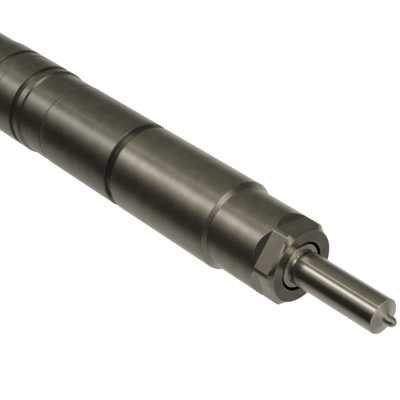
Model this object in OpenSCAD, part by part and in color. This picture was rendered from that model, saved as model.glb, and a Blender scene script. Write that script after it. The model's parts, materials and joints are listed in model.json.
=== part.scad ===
// Solenoid common-rail diesel injector, as an assembly of its separate pieces.
// Millimetres. The injector lies along X with the nozzle pointing to +X and Z up.
// The origin is the centre of the nozzle nut's end face, which is the face that seals in the engine.
// Each piece is drawn upright, with its own z running from the nut's end face up the body, and laid down by lay().

/* [Nozzle] */
// Diameter of the nozzle shank that reaches into the combustion chamber
shank_d = 7.0; // [5.6:0.1:8.4]
// Length of the shank in front of the nut's end face
shank_len = 19.75; // [14:0.25:26]
// Axial drop of the flat cone at the shank's end
end_cone_drop = 0.85; // [0.5:0.05:1.2]
// Diameter of the rounded sac at the very tip
sac_d = 1.9; // [1.6:0.1:2.3]
// How far the sac stands out of the end cone
sac_len = 2.0; // [1.6:0.1:2.6]
// Diameter of one spray hole
spray_d = 0.2; // [0.14:0.02:0.3]
// Number of spray holes
spray_count = 6; // [4:1:8]
// Step from the shank out to the collar that passes through the nut's end wall
collar_step = 1.0; // [0.95:0.05:1.4]
// Length of the nozzle's head, inside the nut
head_len = 21.0; // [17:0.5:26]
// Wall of the nozzle's head outside the high-pressure drilling
head_wall = 0.95; // [0.75:0.05:1.4]
// Diameter of the needle in its guide
needle_d = 4.0; // [3.3:0.1:4.8]
// Diameter of the needle's stem in the shank
stem_d = 2.6; // [2.1:0.1:3.2]
// How far the needle lifts off its seat
needle_lift = 0.25; // [0.15:0.01:0.4]

/* [Nozzle nut] */
// Length of the nut
nut_len = 44.8; // [36:0.2:56]
// Thickness of the end wall that the nozzle's head sits on
nut_floor = 5.0; // [4.2:0.1:7]
// Gap all round between the nozzle's collar and the nut's end bore
collar_gap = 0.5; // [0.3:0.05:0.7]
// Depth of the six flats under the round nose
flat_cut = 0.95; // [0.75:0.05:1.2]
// Length of the flats from the end face
flat_len = 4.3; // [3:0.1:5.2]
// Angle of the first flat round the axis
flat_turn = 8; // [0:1:60]
// Wall of the nut round the nozzle's head
nose_wall = 1.15; // [0.95:0.05:1.6]
// Length of the nut's narrow nose
nose_len = 16.85; // [12:0.05:22]
// Wall of the nut round its thread
barrel_wall = 1.2; // [1:0.05:1.6]
// Step from the nozzle's head out to the thread between the nut and the body
thread_step = 0.95; // [0.75:0.05:1.4]

/* [Injector body] */
// Width of the neck left open between the nut and the body
neck_gap = 2.05; // [0.5:0.05:4]
// Step from the neck out to the body
shoulder_step = 1.3; // [1:0.05:2]
// Step down from the body to its waist, at the first tool line
waist_step = 0.1; // [0.05:0.05:0.3]
// Step up from the waist to the guide land
land_step = 0.4; // [0.2:0.05:0.8]
// Length of the body from its shoulder to the first tool line
body_run = 21.5; // [15:0.5:30]
// Length of the waist from the first tool line to the land
waist_run = 7.55; // [4:0.05:12]
// Length of the guide land
land_len = 20.1; // [16:0.1:26]
// Width of the two ring grooves in the land
groove_w = 1.55; // [1:0.05:2]
// Depth of the ring grooves
groove_depth = 0.9; // [0.5:0.05:1.2]
// Length of the slim body between the land and the head
slim_run = 16.0; // [10:0.5:30]
// Step from the solenoid nut's thread out to the body's head
top_step = 1.5; // [1:0.1:3]
// Depth of the two flats for the hold-down clamp
clamp_cut = 2.0; // [1.5:0.1:2.5]
// Diameter of the high-pressure drilling
feed_d = 1.6; // [1.3:0.1:2]
// Wall between the high-pressure drilling and the spring chamber
feed_wall = 0.85; // [0.7:0.05:1.2]

/* [Closing spring and piston] */
// Wire of the nozzle's closing spring
nozzle_wire = 1.3; // [1:0.1:1.6]
// Length of the closing spring as fitted
nozzle_spring_len = 18.2; // [14:0.1:24]
// Diameter of the control piston's rod
rod_d = 3.6; // [3:0.1:4.2]
// Diameter of the control piston in the valve body
piston_d = 4.3; // [3.5:0.1:5.2]
// Wall of the valve body round the control piston
valve_wall = 4.05; // [3.4:0.05:5]

/* [Inlet] */
// Diameter of the connector's screwed-in end
screw_in_d = 12.0; // [10:0.5:14.5]
// Wall of the inlet boss round the screwed-in end
boss_wall = 4.0; // [3:0.5:5]
// How far the boss stands out of the body's head
boss_out = 4.0; // [3:0.5:6]
// Distance across the inlet connector's hexagon
inlet_af = 17.0; // [16:1:21]
// Diameter of the thread for the high-pressure pipe
inlet_d = 14.0; // [12:0.5:16]
// Length of the thread for the high-pressure pipe
inlet_len = 12.0; // [10:0.5:16]
// Diameter of the edge filter
filter_d = 3.2; // [2.6:0.1:3.9]

/* [Control valve] */
// Diameter of the valve ball
ball_d = 1.34; // [1.1:0.02:1.62]
// Diameter of the armature pin
pin_d = 3.0; // [2.5:0.1:3.6]
// How far the armature pin lifts
valve_lift = 0.06; // [0.04:0.01:0.1]
// How far the armature plate can run on past the pin
overtravel = 0.04; // [0.02:0.01:0.06]
// Air gap left between the plate and the magnet with the valve open
air_gap = 0.05; // [0.03:0.01:0.1]
// Thickness of the armature plate
plate_t = 2.4; // [1.8:0.1:3]

/* [Solenoid] */
// Height of the magnet core
core_h = 11.4; // [9.5:0.1:14]
// Wall of the steel shell round the core
shell_wall = 1.8; // [1.5:0.05:2.2]
// Wall of the body outside the solenoid
top_wall = 1.78; // [1.5:0.01:2.2]
// Wall of the solenoid nut at its flats
cap_nut_wall = 2.45; // [2:0.05:3.5]
// Wall of the moulded connector cap
cap_wall = 2.08; // [1.7:0.01:3]
// Height of the moulded connector cap over the solenoid nut
cap_h = 18.0; // [15:0.5:24]
// Outer diameter of the return spigot
return_d = 5.4; // [4.5:0.1:6.5]
// Length of the return spigot outside the cap
return_len = 11.0; // [9:0.5:16]

/* [Fits] */
// Radial clearance of a thread
thread_gap = 0.05; // [0.02:0.01:0.1]
// Radial clearance of a sliding fit
slide_gap = 0.02; // [0.01:0.005:0.03]
// Radial clearance of a located part
seat_gap = 0.1; // [0.05:0.01:0.15]
// Gap at a closed valve seat
seal_gap = 0.01; // [0.005:0.001:0.02]

/* [Hidden] */
$fn = 96;
eps = 0.01;          // how far a cutter passes the face that it cuts
clear = 1;           // how far a long cutter runs clear of its piece
line_half = 0.3;     // half width of a turned tool line
line_depth = 0.12;   // depth of a turned tool line
edge = 0.2;          // broken edge on the turned outsides
edge_fine = 0.1;     // broken edge on the small inside pieces
thread_edge = 0.6;   // broken edge at the start of a thread
mouth_edge = 0.5;    // broken edge of a wide bore or of the boss
hex_half = 30;       // half the angle between two flats of a hexagon
cone_half = 30;      // half of the 60 degree cone of the needle's seat and of the inlet
close_pitch = 0.98;  // pitch of a spring's closed end turns, in wire diameters

// diameters, from the piston's rod outwards
pressure_hub_d = rod_d + 0.4;
nozzle_coil_d = pressure_hub_d + 0.4 + nozzle_wire;   // mean diameter of the closing spring
spring_bore_d = nozzle_coil_d + nozzle_wire + 0.5;
feed_r = spring_bore_d / 2 + feed_wall + feed_d / 2;  // the drilling's distance from the axis
head_d = 2 * (feed_r + feed_d / 2 + head_wall);
thread_d = head_d + 2 * thread_step;
body_d = thread_d + 2 * shoulder_step;
waist_d = body_d - 2 * waist_step;
land_d = waist_d + 2 * land_step;
rod_bore_d = piston_d + 0.7;

// diameters of the head, from the control piston outwards
valve_gap = 0.28;                      // fuel ring round the valve body
valve_bore_r = piston_d / 2 + slide_gap + valve_wall + valve_gap;
valve_flange_r = valve_bore_r + 1.6;
clamp_thread_d = 2 * valve_flange_r + 0.9;   // inside thread over the valve
core_r = clamp_thread_d / 2 - 0.25;
shell_r = core_r + slide_gap + shell_wall;
pole_bore_r = shell_r + seat_gap;
top_thread_d = 2 * (pole_bore_r + top_wall);
top_d = top_thread_d + 2 * top_step;
clamp_af = top_d - 2 * clamp_cut;
boss_d = screw_in_d + 2 * boss_wall;
boss_reach = top_d / 2 + boss_out;     // the boss's face, from the axis
pocket_end = boss_reach - 5.5;         // bottom of the inlet pocket, from the axis

// nozzle
shank_r = shank_d / 2;
head_gap = 0.15;                       // head to nut, each side
shank_bore_r = stem_d / 2 + 0.5;       // fuel runs down round the stem
sac_r = sac_d / 2;
sac_hole_r = sac_r - 0.45;
tip_z = -shank_len - end_cone_drop - sac_len;
cone_end_z = -shank_len - end_cone_drop;
sac_fillet = 0.3;
seat_top_z = -shank_len + 1.15;
seat_apex_z = seat_top_z - shank_bore_r / tan(cone_half);
sac_mouth_z = seat_apex_z + sac_hole_r / tan(cone_half);
needle_apex_z = seat_apex_z + seal_gap / sin(cone_half);
needle_nose_r = sac_hole_r - 0.12;
head_top_z = nut_floor + head_len;     // lapped face between the nozzle and the body
collar_r = shank_r + collar_step;
collar_round = 0.5;                    // rounded front edge of the collar
collar_front_z = 0.05;                 // front of the collar, just inside the nut
shank_root_r = shank_r + 0.4;          // small cone between the shank and the collar
shank_root_len = 0.8;
gallery_r = needle_d / 2 + 1.0;        // pressure chamber round the needle's shoulder
gallery_z = nut_floor + 2.5;
gallery_h = 4.0;
gallery_cone = 1.0;                    // height of the cones at both ends of the chamber
feed_in = 0.4;                         // the drilling meets the chamber this far outside the needle
feed_in_z = 1.8;                       // and this far below the guide
needle_cone_z = 1.6;                   // the needle's shoulder starts this far below the guide
needle_cone_h = 1.0;
spray_rise = 0.35;                     // a spray hole starts this far above the sac's centre
spray_drop = 0.25;                     // and has dropped this far below it outside
guide_z = gallery_z + gallery_h;
needle_top_z = head_top_z - 0.1;
needle_pin_d = 2.4;
needle_pin_len = 2.4;
dowel_d = 1.6;
dowel_deep = 2.4;                      // how far a dowel stands in each piece
dowel_turns = [100, 235];
dowel_end_gap = 0.2;

// nut
nut_bore_r = collar_r + collar_gap;
nose_cavity_r = head_d / 2 + head_gap;
nose_r = nose_cavity_r + nose_wall;
nut_thread_r = thread_d / 2 + thread_gap;
barrel_r = nut_thread_r + barrel_wall;
nut_af = 2 * (nose_r - flat_cut);      // across the six flats
nut_ring_r = nose_r - 1.1;             // flat ring on the end face
nut_end_chamfer = 0.9;
nut_bore_edge = 0.15;
nut_mouth_edge = 0.4;
run_out = 1.2;                         // length of the slope that ends each flat
run_out_rise = 0.85;                   // rise of that slope for each millimetre of its length
step_chamfer = 0.75;
barrel_z = nose_len + step_chamfer;
thread_start_z = head_top_z - 0.4;
af_to_corner = 2 / sqrt(3);            // hexagon: corners across over flats across

// body, from the lapped face up
shoulder_z = nut_len + neck_gap;
line_1_z = shoulder_z + body_run;
land_z = line_1_z + waist_run;
land_chamfer = (land_d - waist_d) / 2;
waist_fall = 0.1;                      // length over which the body falls to its waist
groove_1_z = land_z + 2.0;
line_2_z = land_z + 10.0;
groove_2_z = land_z + 12.35;
land_end_z = land_z + land_len;
head_z = land_end_z + slim_run;        // where the body widens into its head
head_cone = 4.0;
top_thread_edge = 0.8;                 // broken edge of the body's and the inlet's upper thread end
top_z = head_z + head_cone;            // lower end of the wide head, and floor of the valve bore
inlet_z = top_z + 10.0;                // level of the inlet
flat_z = inlet_z + boss_d / 2 + 1.0;   // shoulders that the clamp pushes on
flat_h = 9.0;
valve_ledge_z = top_z + 18.0;
valve_flange_h = 4.0;
valve_top_z = valve_ledge_z + valve_flange_h;
top_thread_z = top_z + 32.0;
pole_seat_z = top_z + 36.0;            // ledge that the magnet stands on
body_top_z = top_z + 40.0;
feed_bend_z = head_z - 7.0;
feed_top_r = valve_bore_r + 4.0;
inlet_drill_more = 0.4;                // the inlet's own drilling is this much wider
feed_turn = 0;                         // the drilling lies on the inlet's side

// closing spring and piston
plate_lift_z = needle_top_z + needle_pin_len;   // underside of the pressure pin
pressure_pin_h = 2.7;
pressure_pin_d = spring_bore_d - 0.4;
pressure_hub_h = 2.4;
piston_cone = 0.5;
nozzle_spring_z = plate_lift_z + pressure_pin_h;
shim_z = nozzle_spring_z + nozzle_spring_len;
spring_top_z = shim_z + 1.8;           // top of the spring chamber, which the shim rests on
chamber_top_z = valve_top_z - 6.0;     // where the control piston stops
piston_top_z = chamber_top_z - needle_lift - 0.03;
piston_z = head_z;                     // lower end of the piston's thick part

// inlet
inlet_hex_h = 4.5;
inlet_rim = 1.8;                       // face left round the cone's mouth
inlet_neck = 1.0;                      // undercut between the hexagon and the thread
hex_chamfer = 1.4;
hex_chamfer_h = 0.8;
filter_len = 12.0;
filter_flutes = 6;
filter_flute_d = 1.0;
filter_stop = 2.0;                     // full part that ends each flute

// control valve
ball_r = ball_d / 2;
ball_seat_r = ball_r * 1.12;           // mouth of the ball's 90 degree seat
ball_apex_z = valve_top_z - ball_seat_r;
ball_z = ball_apex_z + (ball_r + seal_gap) * sqrt(2);
valve_spigot_in = 1.8;                 // room for the seal ring round the valve body's spigot
valve_spigot_h = 2.5;
chamber_step = 0.5;                    // step from the piston's bore in to the control chamber
chamber_h = 1.2;
drain_d = 0.3;                         // outlet choke, under the ball
drain_relief_d = 0.8;                  // wider drilling that ends in the choke
drain_relief_z = 2.4;
drain_land = 0.4;
fill_d = 0.3;                          // inlet choke, from the ring round the valve body
guide_flange_h = 2.4;
guide_flange_z = valve_top_z + guide_flange_h;
guide_sleeve_d = 7.0;
spill_r = 4.35;                        // circle of the spill holes
spill_d = 1.1;
spill_room = 0.65;                     // room under the flange outside the spill holes
spill_h = 1.2;
clamp_nut_h = 4.6;
clamp_nut_bore = 10.4;
clamp_slot_w = 2.0;
clamp_slot_deep = 1.5;
ball_guide_d = 2.6;
ball_guide_h = 0.8;
ball_guide_z = ball_z + 0.12;
pin_z = ball_guide_z + ball_guide_h;
shim_h = 0.6;
shim_in = 0.35;                        // gap between the lift shim and the core
pole_z = pole_seat_z + shim_h;
plate_top_z = pole_z - valve_lift - air_gap;
plate_z = plate_top_z - plate_t;
plate_d = clamp_thread_d - 1.5;
guide_sleeve_z = plate_z - overtravel - 0.01;   // the sleeve's top stops the plate's overtravel
plate_slot_w = 1.0;
plate_slot_len = 2.6;
lock_h = 0.55;
lock_mouth = 0.8;                      // opening of the lock ring over its groove
lock_groove_r = pin_d / 2 - 0.32;
lock_r = 2.45;
pin_head_h = 0.6;
pin_stub_d = 1.8;
pin_stub_h = 1.4;
valve_spring_z = plate_top_z + lock_h + pin_head_h;

// solenoid
core_bore_r = 2.7;
slot_in_r = 4.4;
slot_out_r = 7.0;
slot_h = core_h - 3.4;
bobbin_wall = 0.5;
bobbin_gap = 0.05;
bobbin_z = 0.6;                        // how far the bobbin stands back from the poles
winding_gap = 0.15;
winding_r = slot_in_r + bobbin_gap + bobbin_wall;
winding_z = pole_z + bobbin_z + bobbin_wall;
core_top_z = pole_z + core_h;
shell_top_h = 4.0;
shell_top_z = core_top_z + shell_top_h;
flange_r = shell_r + 1.4;
flange_z = body_top_z + 0.4;
flange_h = 4.0;
flange_top_z = flange_z + flange_h;
ring_wire = 1.0;                       // O-ring section
ring_groove_w = 1.2;
ring_groove_z = pole_seat_z + 2.0;
ring_mid_r = pole_bore_r - ring_wire / 2 - slide_gap;
cap_nut_z = top_thread_z + 0.3;
cap_nut_lip = 2.6;
cap_nut_lip_gap = 0.15;
cap_nut_step = 0.2;                    // the nut's thread ends this far above the body
cap_nut_ring_in = 0.3;                 // flat ring on its faces, in from the flats
cap_nut_chamfer_h = 1.6;
cap_nut_top_z = flange_top_z + cap_nut_lip;
cap_nut_bore_r = max(top_thread_d / 2 + thread_gap, flange_r + seat_gap);
cap_af = 2 * (cap_nut_bore_r + cap_nut_wall);
force_shim_h = 1.2;
force_shim_bore = 1.6;
force_shim_z = core_top_z + 1.0;
return_z = force_shim_z + force_shim_h;
valve_wire = 0.7;
valve_coil_d = 2.9;
over_wire = 0.8;
over_coil_d = 8.6;

// connector cap, with its plug socket to the side
cap_z = cap_nut_top_z + 0.2;
cap_top_z = cap_z + cap_h;
cap_d = 2 * (shell_r + cap_wall);
cap_round = 2.0;
return_bore_d = 2.6;
socket_z = cap_top_z - 7.5;
socket_w = 16.0;
socket_h = 11.0;
socket_wall = 1.5;
socket_round = 3.0;
socket_end = cap_d / 2 + 13.0;         // mouth of the socket, from the axis
socket_floor = cap_d / 2 + 2.0;
blade_w = 2.2;
blade_t = 0.8;
blade_x = 2.8;
blade_y = 6.4;
blade_end = socket_floor + 5.0;
blade_lift = 0.2;                      // the blades start this far above the core
blade_hole_d = 2.0;
blade_hole_deep = 5.0;
blade_sleeve_d = 3.0;
collar_out = 1.0;                      // collar round the socket's mouth
collar_back = 6.0;
collar_w = 1.6;
latch_size = [4.0, 2.6, 2.1];          // latch nose: across, along the socket, up
latch_back = 0.8;
latch_sunk = 0.5;
rib_size = [1.2, 9.0, 6.0];            // rib under the socket: thickness, length, height
rib_x = 5.0;
rib_back = 8.0;
rib_lift = 1.0;
socket_root = 4.0;                     // how deep the socket's block starts inside the cap
return_foot = 3.2;                     // cone on the cap's top round the spigot
return_foot_top = 2.4;
barb_out = 0.5;
barb_len = 2.0;
barb_1 = 5.2;                          // distances of the barbs from the spigot's end
barb_2 = 2.8;
return_tip_in = 0.5;
return_collar_h = 1.0;                 // stop collar on the cap's top
return_collar_out = 1.0;
return_out_z = cap_top_z + 2.5;

// ---- shared shapes ----

// lays an upright piece down, with its z pointing to -X and its x pointing up
module lay() { rotate([0, -90, 0]) children(); }

// straight round bar between two levels
module bar(r, z0, z1) { translate([0, 0, z0]) cylinder(r = r, h = z1 - z0); }

// round bar that changes its radius evenly
module taper(r0, r1, z0, z1) { translate([0, 0, z0]) cylinder(r1 = r0, r2 = r1, h = z1 - z0); }

// ring with a round hole
module ring(r_out, r_in, z0, z1) {
    difference() {
        bar(r_out, z0, z1);
        bar(r_in, z0 - eps, z1 + eps);
    }
}

// turned outline, as [radius, level] points
module turned(points) { rotate_extrude() polygon(points); }

// hexagonal bar, flats across af, with the first flat's normal at turn
module hex_bar(af, z0, z1, turn = 0) {
    translate([0, 0, z0]) rotate([0, 0, turn - hex_half])
        cylinder(d = af * af_to_corner, h = z1 - z0, $fn = 6);
}

// drilling between two points of the plane at angle turn, each given as [radius, level]
module drilling(a, b, d, turn = 0) {
    run = b - a;
    rotate([0, 0, turn]) translate([a[0], 0, a[1]])
        rotate([0, atan2(run[0], run[1]), 0]) cylinder(d = d, h = norm(run));
}

// coil spring of round wire: closed end turns, open turns between
function coil_level(t, turns, wire, h) =
    let (closed = wire * close_pitch, rise = (h - wire) - 2 * closed, open = turns - 2)
    wire / 2 + (t < 1 ? t * closed
        : t > turns - 1 ? h - wire - (turns - t) * closed
        : closed + (t - 1) * rise / open);
module coil(mean_d, wire, z0, h, turns, sides = 8, per_turn = 20) {
    steps = turns * per_turn;
    points = [for (i = [0:steps]) let (a = 360 * i / per_turn, z = z0 + coil_level(i / per_turn, turns, wire, h))
        for (k = [0:sides - 1]) let (b = 360 * k / sides, r = mean_d / 2 + wire / 2 * cos(b))
            [r * cos(a), r * sin(a), z + wire / 2 * sin(b)]];
    sleeve = [for (i = [0:steps - 1]) for (k = [0:sides - 1]) let (n = (k + 1) % sides)
        [i * sides + k, (i + 1) * sides + k, (i + 1) * sides + n, i * sides + n]];
    ends = [[for (k = [0:sides - 1]) k], [for (k = [sides - 1:-1:0]) steps * sides + k]];
    polyhedron(points, concat(sleeve, ends), convexity = 8);
}

// ---- nozzle ----

module nozzle_outside() {
    rotate_extrude() difference() {
        union() {
            polygon([
                [0, tip_z + sac_r], [sac_r, tip_z + sac_r], [sac_r, cone_end_z - sac_fillet],
                [sac_r + sac_fillet, cone_end_z], [shank_r, -shank_len],
                [shank_r, collar_front_z - shank_root_len], [shank_root_r, collar_front_z],
                [collar_r - collar_round, collar_front_z], [collar_r, collar_front_z + collar_round],
                [collar_r, nut_floor], [head_d / 2 - edge, nut_floor], [head_d / 2, nut_floor + edge],
                [head_d / 2, head_top_z - edge], [head_d / 2 - edge, head_top_z], [0, head_top_z]
            ]);
            intersection() {
                translate([0, tip_z + sac_r]) circle(r = sac_r);
                translate([0, tip_z]) square([sac_r, 2 * sac_r]);
            }
            intersection() {
                translate([collar_r - collar_round, collar_front_z + collar_round]) circle(r = collar_round);
                translate([0, collar_front_z]) square([collar_r, nut_floor]);
            }
        }
        translate([sac_r + sac_fillet, cone_end_z - sac_fillet]) circle(r = sac_fillet);
    }
}

module nozzle_body() color([0.78, 0.77, 0.74]) lay() difference() {
    nozzle_outside();
    bar(needle_d / 2 + slide_gap, guide_z, head_top_z + eps);
    taper(gallery_r, needle_d / 2 + slide_gap, guide_z - gallery_cone, guide_z + eps);
    bar(gallery_r, gallery_z + gallery_cone, guide_z - gallery_cone + eps);
    taper(shank_bore_r, gallery_r, gallery_z, gallery_z + gallery_cone + eps);
    bar(shank_bore_r, seat_top_z, gallery_z + eps);
    taper(0, shank_bore_r, seat_apex_z, seat_top_z + eps);
    bar(sac_hole_r, tip_z + sac_r, sac_mouth_z + eps);
    translate([0, 0, tip_z + sac_r]) sphere(r = sac_hole_r);
    drilling([feed_r, head_top_z + clear], [needle_d / 2 + feed_in, guide_z - feed_in_z], feed_d, feed_turn);
    for (i = [0:spray_count - 1])
        drilling([0, tip_z + sac_r + spray_rise], [sac_d, tip_z + sac_r - spray_drop],
            spray_d, 360 * i / spray_count);
    for (turn = dowel_turns) rotate([0, 0, turn])
        translate([feed_r, 0, head_top_z - dowel_deep - dowel_end_gap])
            cylinder(d = dowel_d + 2 * slide_gap, h = dowel_deep + clear);
}

module nozzle_needle() color([0.7, 0.7, 0.72]) lay() turned([
    [0, needle_apex_z + needle_nose_r / tan(cone_half)],
    [needle_nose_r, needle_apex_z + needle_nose_r / tan(cone_half)],
    [stem_d / 2, needle_apex_z + stem_d / 2 / tan(cone_half)],
    [stem_d / 2, guide_z - needle_cone_z], [needle_d / 2, guide_z - needle_cone_z + needle_cone_h],
    [needle_d / 2, needle_top_z - edge_fine], [needle_d / 2 - edge_fine, needle_top_z],
    [needle_pin_d / 2, needle_top_z], [needle_pin_d / 2, needle_top_z + needle_pin_len],
    [0, needle_top_z + needle_pin_len]
]);

module nozzle_dowels() color([0.6, 0.6, 0.6]) lay() for (turn = dowel_turns) rotate([0, 0, turn])
    translate([feed_r, 0, head_top_z - dowel_deep]) cylinder(d = dowel_d, h = 2 * dowel_deep);

module nozzle_nut() color([0.5, 0.48, 0.43]) lay() difference() {
    intersection() {
        turned([
            [0, 0], [nut_ring_r, 0], [nose_r, nut_end_chamfer], [nose_r, nose_len],
            [barrel_r, barrel_z], [barrel_r, nut_len - edge], [barrel_r - edge, nut_len], [0, nut_len]
        ]);
        union() {
            hex_bar(nut_af, -eps, flat_len + eps, flat_turn);
            translate([0, 0, flat_len]) rotate([0, 0, flat_turn - hex_half])
                cylinder(d1 = nut_af * af_to_corner, d2 = (nut_af + 2 * run_out * run_out_rise) * af_to_corner,
                    h = run_out, $fn = 6);
            bar(barrel_r + clear, flat_len + run_out - eps, nut_len + eps);
        }
    }
    bar(nut_bore_r, -eps, nut_floor + eps);
    taper(nut_bore_r + nut_bore_edge + eps, nut_bore_r, -eps, nut_bore_edge);
    bar(nose_cavity_r, nut_floor, thread_start_z);
    bar(nut_thread_r, thread_start_z - eps, nut_len + eps);
    taper(nut_thread_r, nut_thread_r + nut_mouth_edge, nut_len - nut_mouth_edge, nut_len + eps);
}

// ---- injector body ----

// V-shaped tool line round a bar of radius r
module tool_line(r, z) {
    turned([[r - line_depth, z], [r + line_depth, z - line_half], [r + line_depth, z + line_half]]);
}

module body_outside() {
    thread_r = thread_d / 2;
    difference() {
        turned([
            [0, head_top_z], [thread_r - thread_edge, head_top_z], [thread_r, head_top_z + thread_edge],
            [thread_r, shoulder_z], [body_d / 2 - edge, shoulder_z], [body_d / 2, shoulder_z + edge],
            [body_d / 2, line_1_z], [waist_d / 2, line_1_z + waist_fall], [waist_d / 2, land_z],
            [land_d / 2, land_z + land_chamfer],
            [land_d / 2, land_end_z - land_chamfer], [body_d / 2, land_end_z],
            [body_d / 2, head_z], [top_d / 2, top_z],
            [top_d / 2, top_thread_z - thread_edge], [top_d / 2 - thread_edge, top_thread_z],
            [top_thread_d / 2, top_thread_z], [top_thread_d / 2, body_top_z - top_thread_edge],
            [top_thread_d / 2 - top_thread_edge, body_top_z], [0, body_top_z]
        ]);
        tool_line(waist_d / 2, line_1_z + waist_fall);
        tool_line(land_d / 2, line_2_z);
        for (z = [groove_1_z, groove_2_z]) ring(land_d, land_d / 2 - groove_depth, z, z + groove_w);
        for (side = [-1, 1])
            translate([-top_d, side * (clamp_af / 2 + top_d / 2) - top_d / 2, flat_z])
                cube([2 * top_d, top_d, flat_h]);
    }
    translate([0, 0, inlet_z]) rotate([0, 90, 0]) {
        cylinder(d = boss_d, h = boss_reach - mouth_edge);
        translate([0, 0, boss_reach - mouth_edge])
            cylinder(d1 = boss_d, d2 = boss_d - 2 * mouth_edge, h = mouth_edge);
    }
}

module injector_body() color([0.47, 0.45, 0.4]) lay() difference() {
    body_outside();
    bar(spring_bore_d / 2, head_top_z - eps, spring_top_z);
    bar(rod_bore_d / 2, head_top_z - eps, top_z + clear);
    bar(valve_bore_r, top_z, body_top_z + eps);
    bar(valve_flange_r + seat_gap, valve_ledge_z, body_top_z + eps);
    bar(clamp_thread_d / 2, valve_top_z, body_top_z + eps);
    bar(pole_bore_r, pole_seat_z, body_top_z + eps);
    taper(pole_bore_r, pole_bore_r + mouth_edge, body_top_z - mouth_edge, body_top_z + eps);
    drilling([feed_r, head_top_z - clear], [feed_r, feed_bend_z + feed_d], feed_d, feed_turn);
    drilling([feed_r, feed_bend_z], [feed_top_r, inlet_z], feed_d, feed_turn);
    translate([0, 0, inlet_z]) rotate([0, 90, 0]) {
        cylinder(d = feed_d + inlet_drill_more, h = boss_reach);
        translate([0, 0, pocket_end]) cylinder(d = screw_in_d + 2 * thread_gap, h = boss_reach);
    }
    for (turn = dowel_turns) rotate([0, 0, turn])
        translate([feed_r, 0, head_top_z - clear])
            cylinder(d = dowel_d + 2 * slide_gap, h = dowel_deep + clear + dowel_end_gap);
}

// ---- closing spring and piston ----

module pressure_pin() color([0.62, 0.62, 0.6]) lay() turned([
    [0, plate_lift_z], [pressure_pin_d / 2 - edge, plate_lift_z], [pressure_pin_d / 2, plate_lift_z + edge],
    [pressure_pin_d / 2, nozzle_spring_z], [pressure_hub_d / 2, nozzle_spring_z],
    [pressure_hub_d / 2, nozzle_spring_z + pressure_hub_h - edge],
    [pressure_hub_d / 2 - edge, nozzle_spring_z + pressure_hub_h], [0, nozzle_spring_z + pressure_hub_h]
]);

module nozzle_spring() color([0.35, 0.35, 0.38]) lay()
    coil(nozzle_coil_d, nozzle_wire, nozzle_spring_z, nozzle_spring_len, turns = 7);

module spring_shim() color([0.7, 0.65, 0.5]) lay()
    ring(spring_bore_d / 2 - seat_gap, rod_bore_d / 2, shim_z, spring_top_z);

module control_piston() color([0.72, 0.72, 0.74]) lay() turned([
    [0, nozzle_spring_z + pressure_hub_h], [rod_d / 2, nozzle_spring_z + pressure_hub_h],
    [rod_d / 2, piston_z], [piston_d / 2, piston_z + piston_cone],
    [piston_d / 2, piston_top_z - edge], [piston_d / 2 - edge, piston_top_z], [0, piston_top_z]
]);

// ---- inlet ----

module inlet_connector() color([0.66, 0.64, 0.58]) lay()
    translate([0, 0, inlet_z]) rotate([0, 90, 0]) {
        thread_z = boss_reach + inlet_hex_h;
        end_z = thread_z + inlet_len;
        cone_r = inlet_d / 2 - inlet_rim;
        difference() {
            union() {
                turned([
                    [0, pocket_end], [screw_in_d / 2 - thread_edge, pocket_end],
                    [screw_in_d / 2, pocket_end + thread_edge],
                    [screw_in_d / 2, boss_reach], [0, boss_reach]
                ]);
                intersection() {
                    hex_bar(inlet_af, boss_reach, thread_z, hex_half);
                    turned([
                        [0, boss_reach], [inlet_af / 2, boss_reach],
                        [inlet_af / 2 + hex_chamfer, boss_reach + hex_chamfer_h],
                        [inlet_af / 2 + hex_chamfer, thread_z - hex_chamfer_h],
                        [inlet_af / 2, thread_z], [0, thread_z]
                    ]);
                }
                turned([
                    [0, thread_z - clear], [inlet_d / 2 - inlet_neck, thread_z - clear],
                    [inlet_d / 2 - inlet_neck, thread_z + inlet_neck],
                    [inlet_d / 2, thread_z + 2 * inlet_neck], [inlet_d / 2, end_z - top_thread_edge],
                    [inlet_d / 2 - top_thread_edge, end_z], [0, end_z]
                ]);
            }
            bar(filter_d / 2 + slide_gap, pocket_end - eps, end_z);
            taper(0, cone_r + eps, end_z - cone_r / tan(cone_half), end_z + eps);
        }
    }

module edge_filter() color([0.8, 0.78, 0.7]) lay()
    translate([0, 0, inlet_z]) rotate([0, 90, 0]) difference() {
        bar(filter_d / 2, pocket_end, pocket_end + filter_len);
        // flutes open by turns at the lower and at the upper end
        for (i = [0:filter_flutes - 1]) rotate([0, 0, 360 / filter_flutes * i])
            translate([filter_d / 2, 0, pocket_end + (i % 2 == 0 ? -clear : filter_stop)])
                cylinder(d = filter_flute_d, h = filter_len + clear - filter_stop, $fn = 24);
    }

// ---- control valve ----

module valve_body() color([0.7, 0.69, 0.66]) lay() difference() {
    spigot_r = valve_bore_r - valve_spigot_in;
    spigot_top_z = top_z + valve_spigot_h;
    barrel_top_r = valve_bore_r - valve_gap;
    turned([
        [0, top_z], [spigot_r, top_z], [spigot_r, spigot_top_z], [barrel_top_r, spigot_top_z],
        [barrel_top_r, valve_ledge_z], [valve_flange_r, valve_ledge_z], [valve_flange_r, valve_top_z],
        [0, valve_top_z]
    ]);
    bar(piston_d / 2 + slide_gap, top_z - eps, chamber_top_z);
    bar(piston_d / 2 - chamber_step, chamber_top_z - eps, chamber_top_z + chamber_h);
    bar(drain_d / 2, chamber_top_z, ball_apex_z + drain_d);
    bar(drain_relief_d / 2, chamber_top_z + drain_relief_z, ball_apex_z - drain_land);
    taper(0, ball_seat_r + eps, ball_apex_z, valve_top_z + eps);
    drilling([0, chamber_top_z + chamber_h / 2], [valve_bore_r, chamber_top_z + chamber_h / 2], fill_d, 90);
}

module valve_seal_ring() color([0.75, 0.7, 0.55]) lay()
    ring(valve_bore_r - seat_gap, valve_bore_r - valve_spigot_in + thread_gap,
        top_z + slide_gap, top_z + valve_spigot_h - slide_gap);

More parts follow.
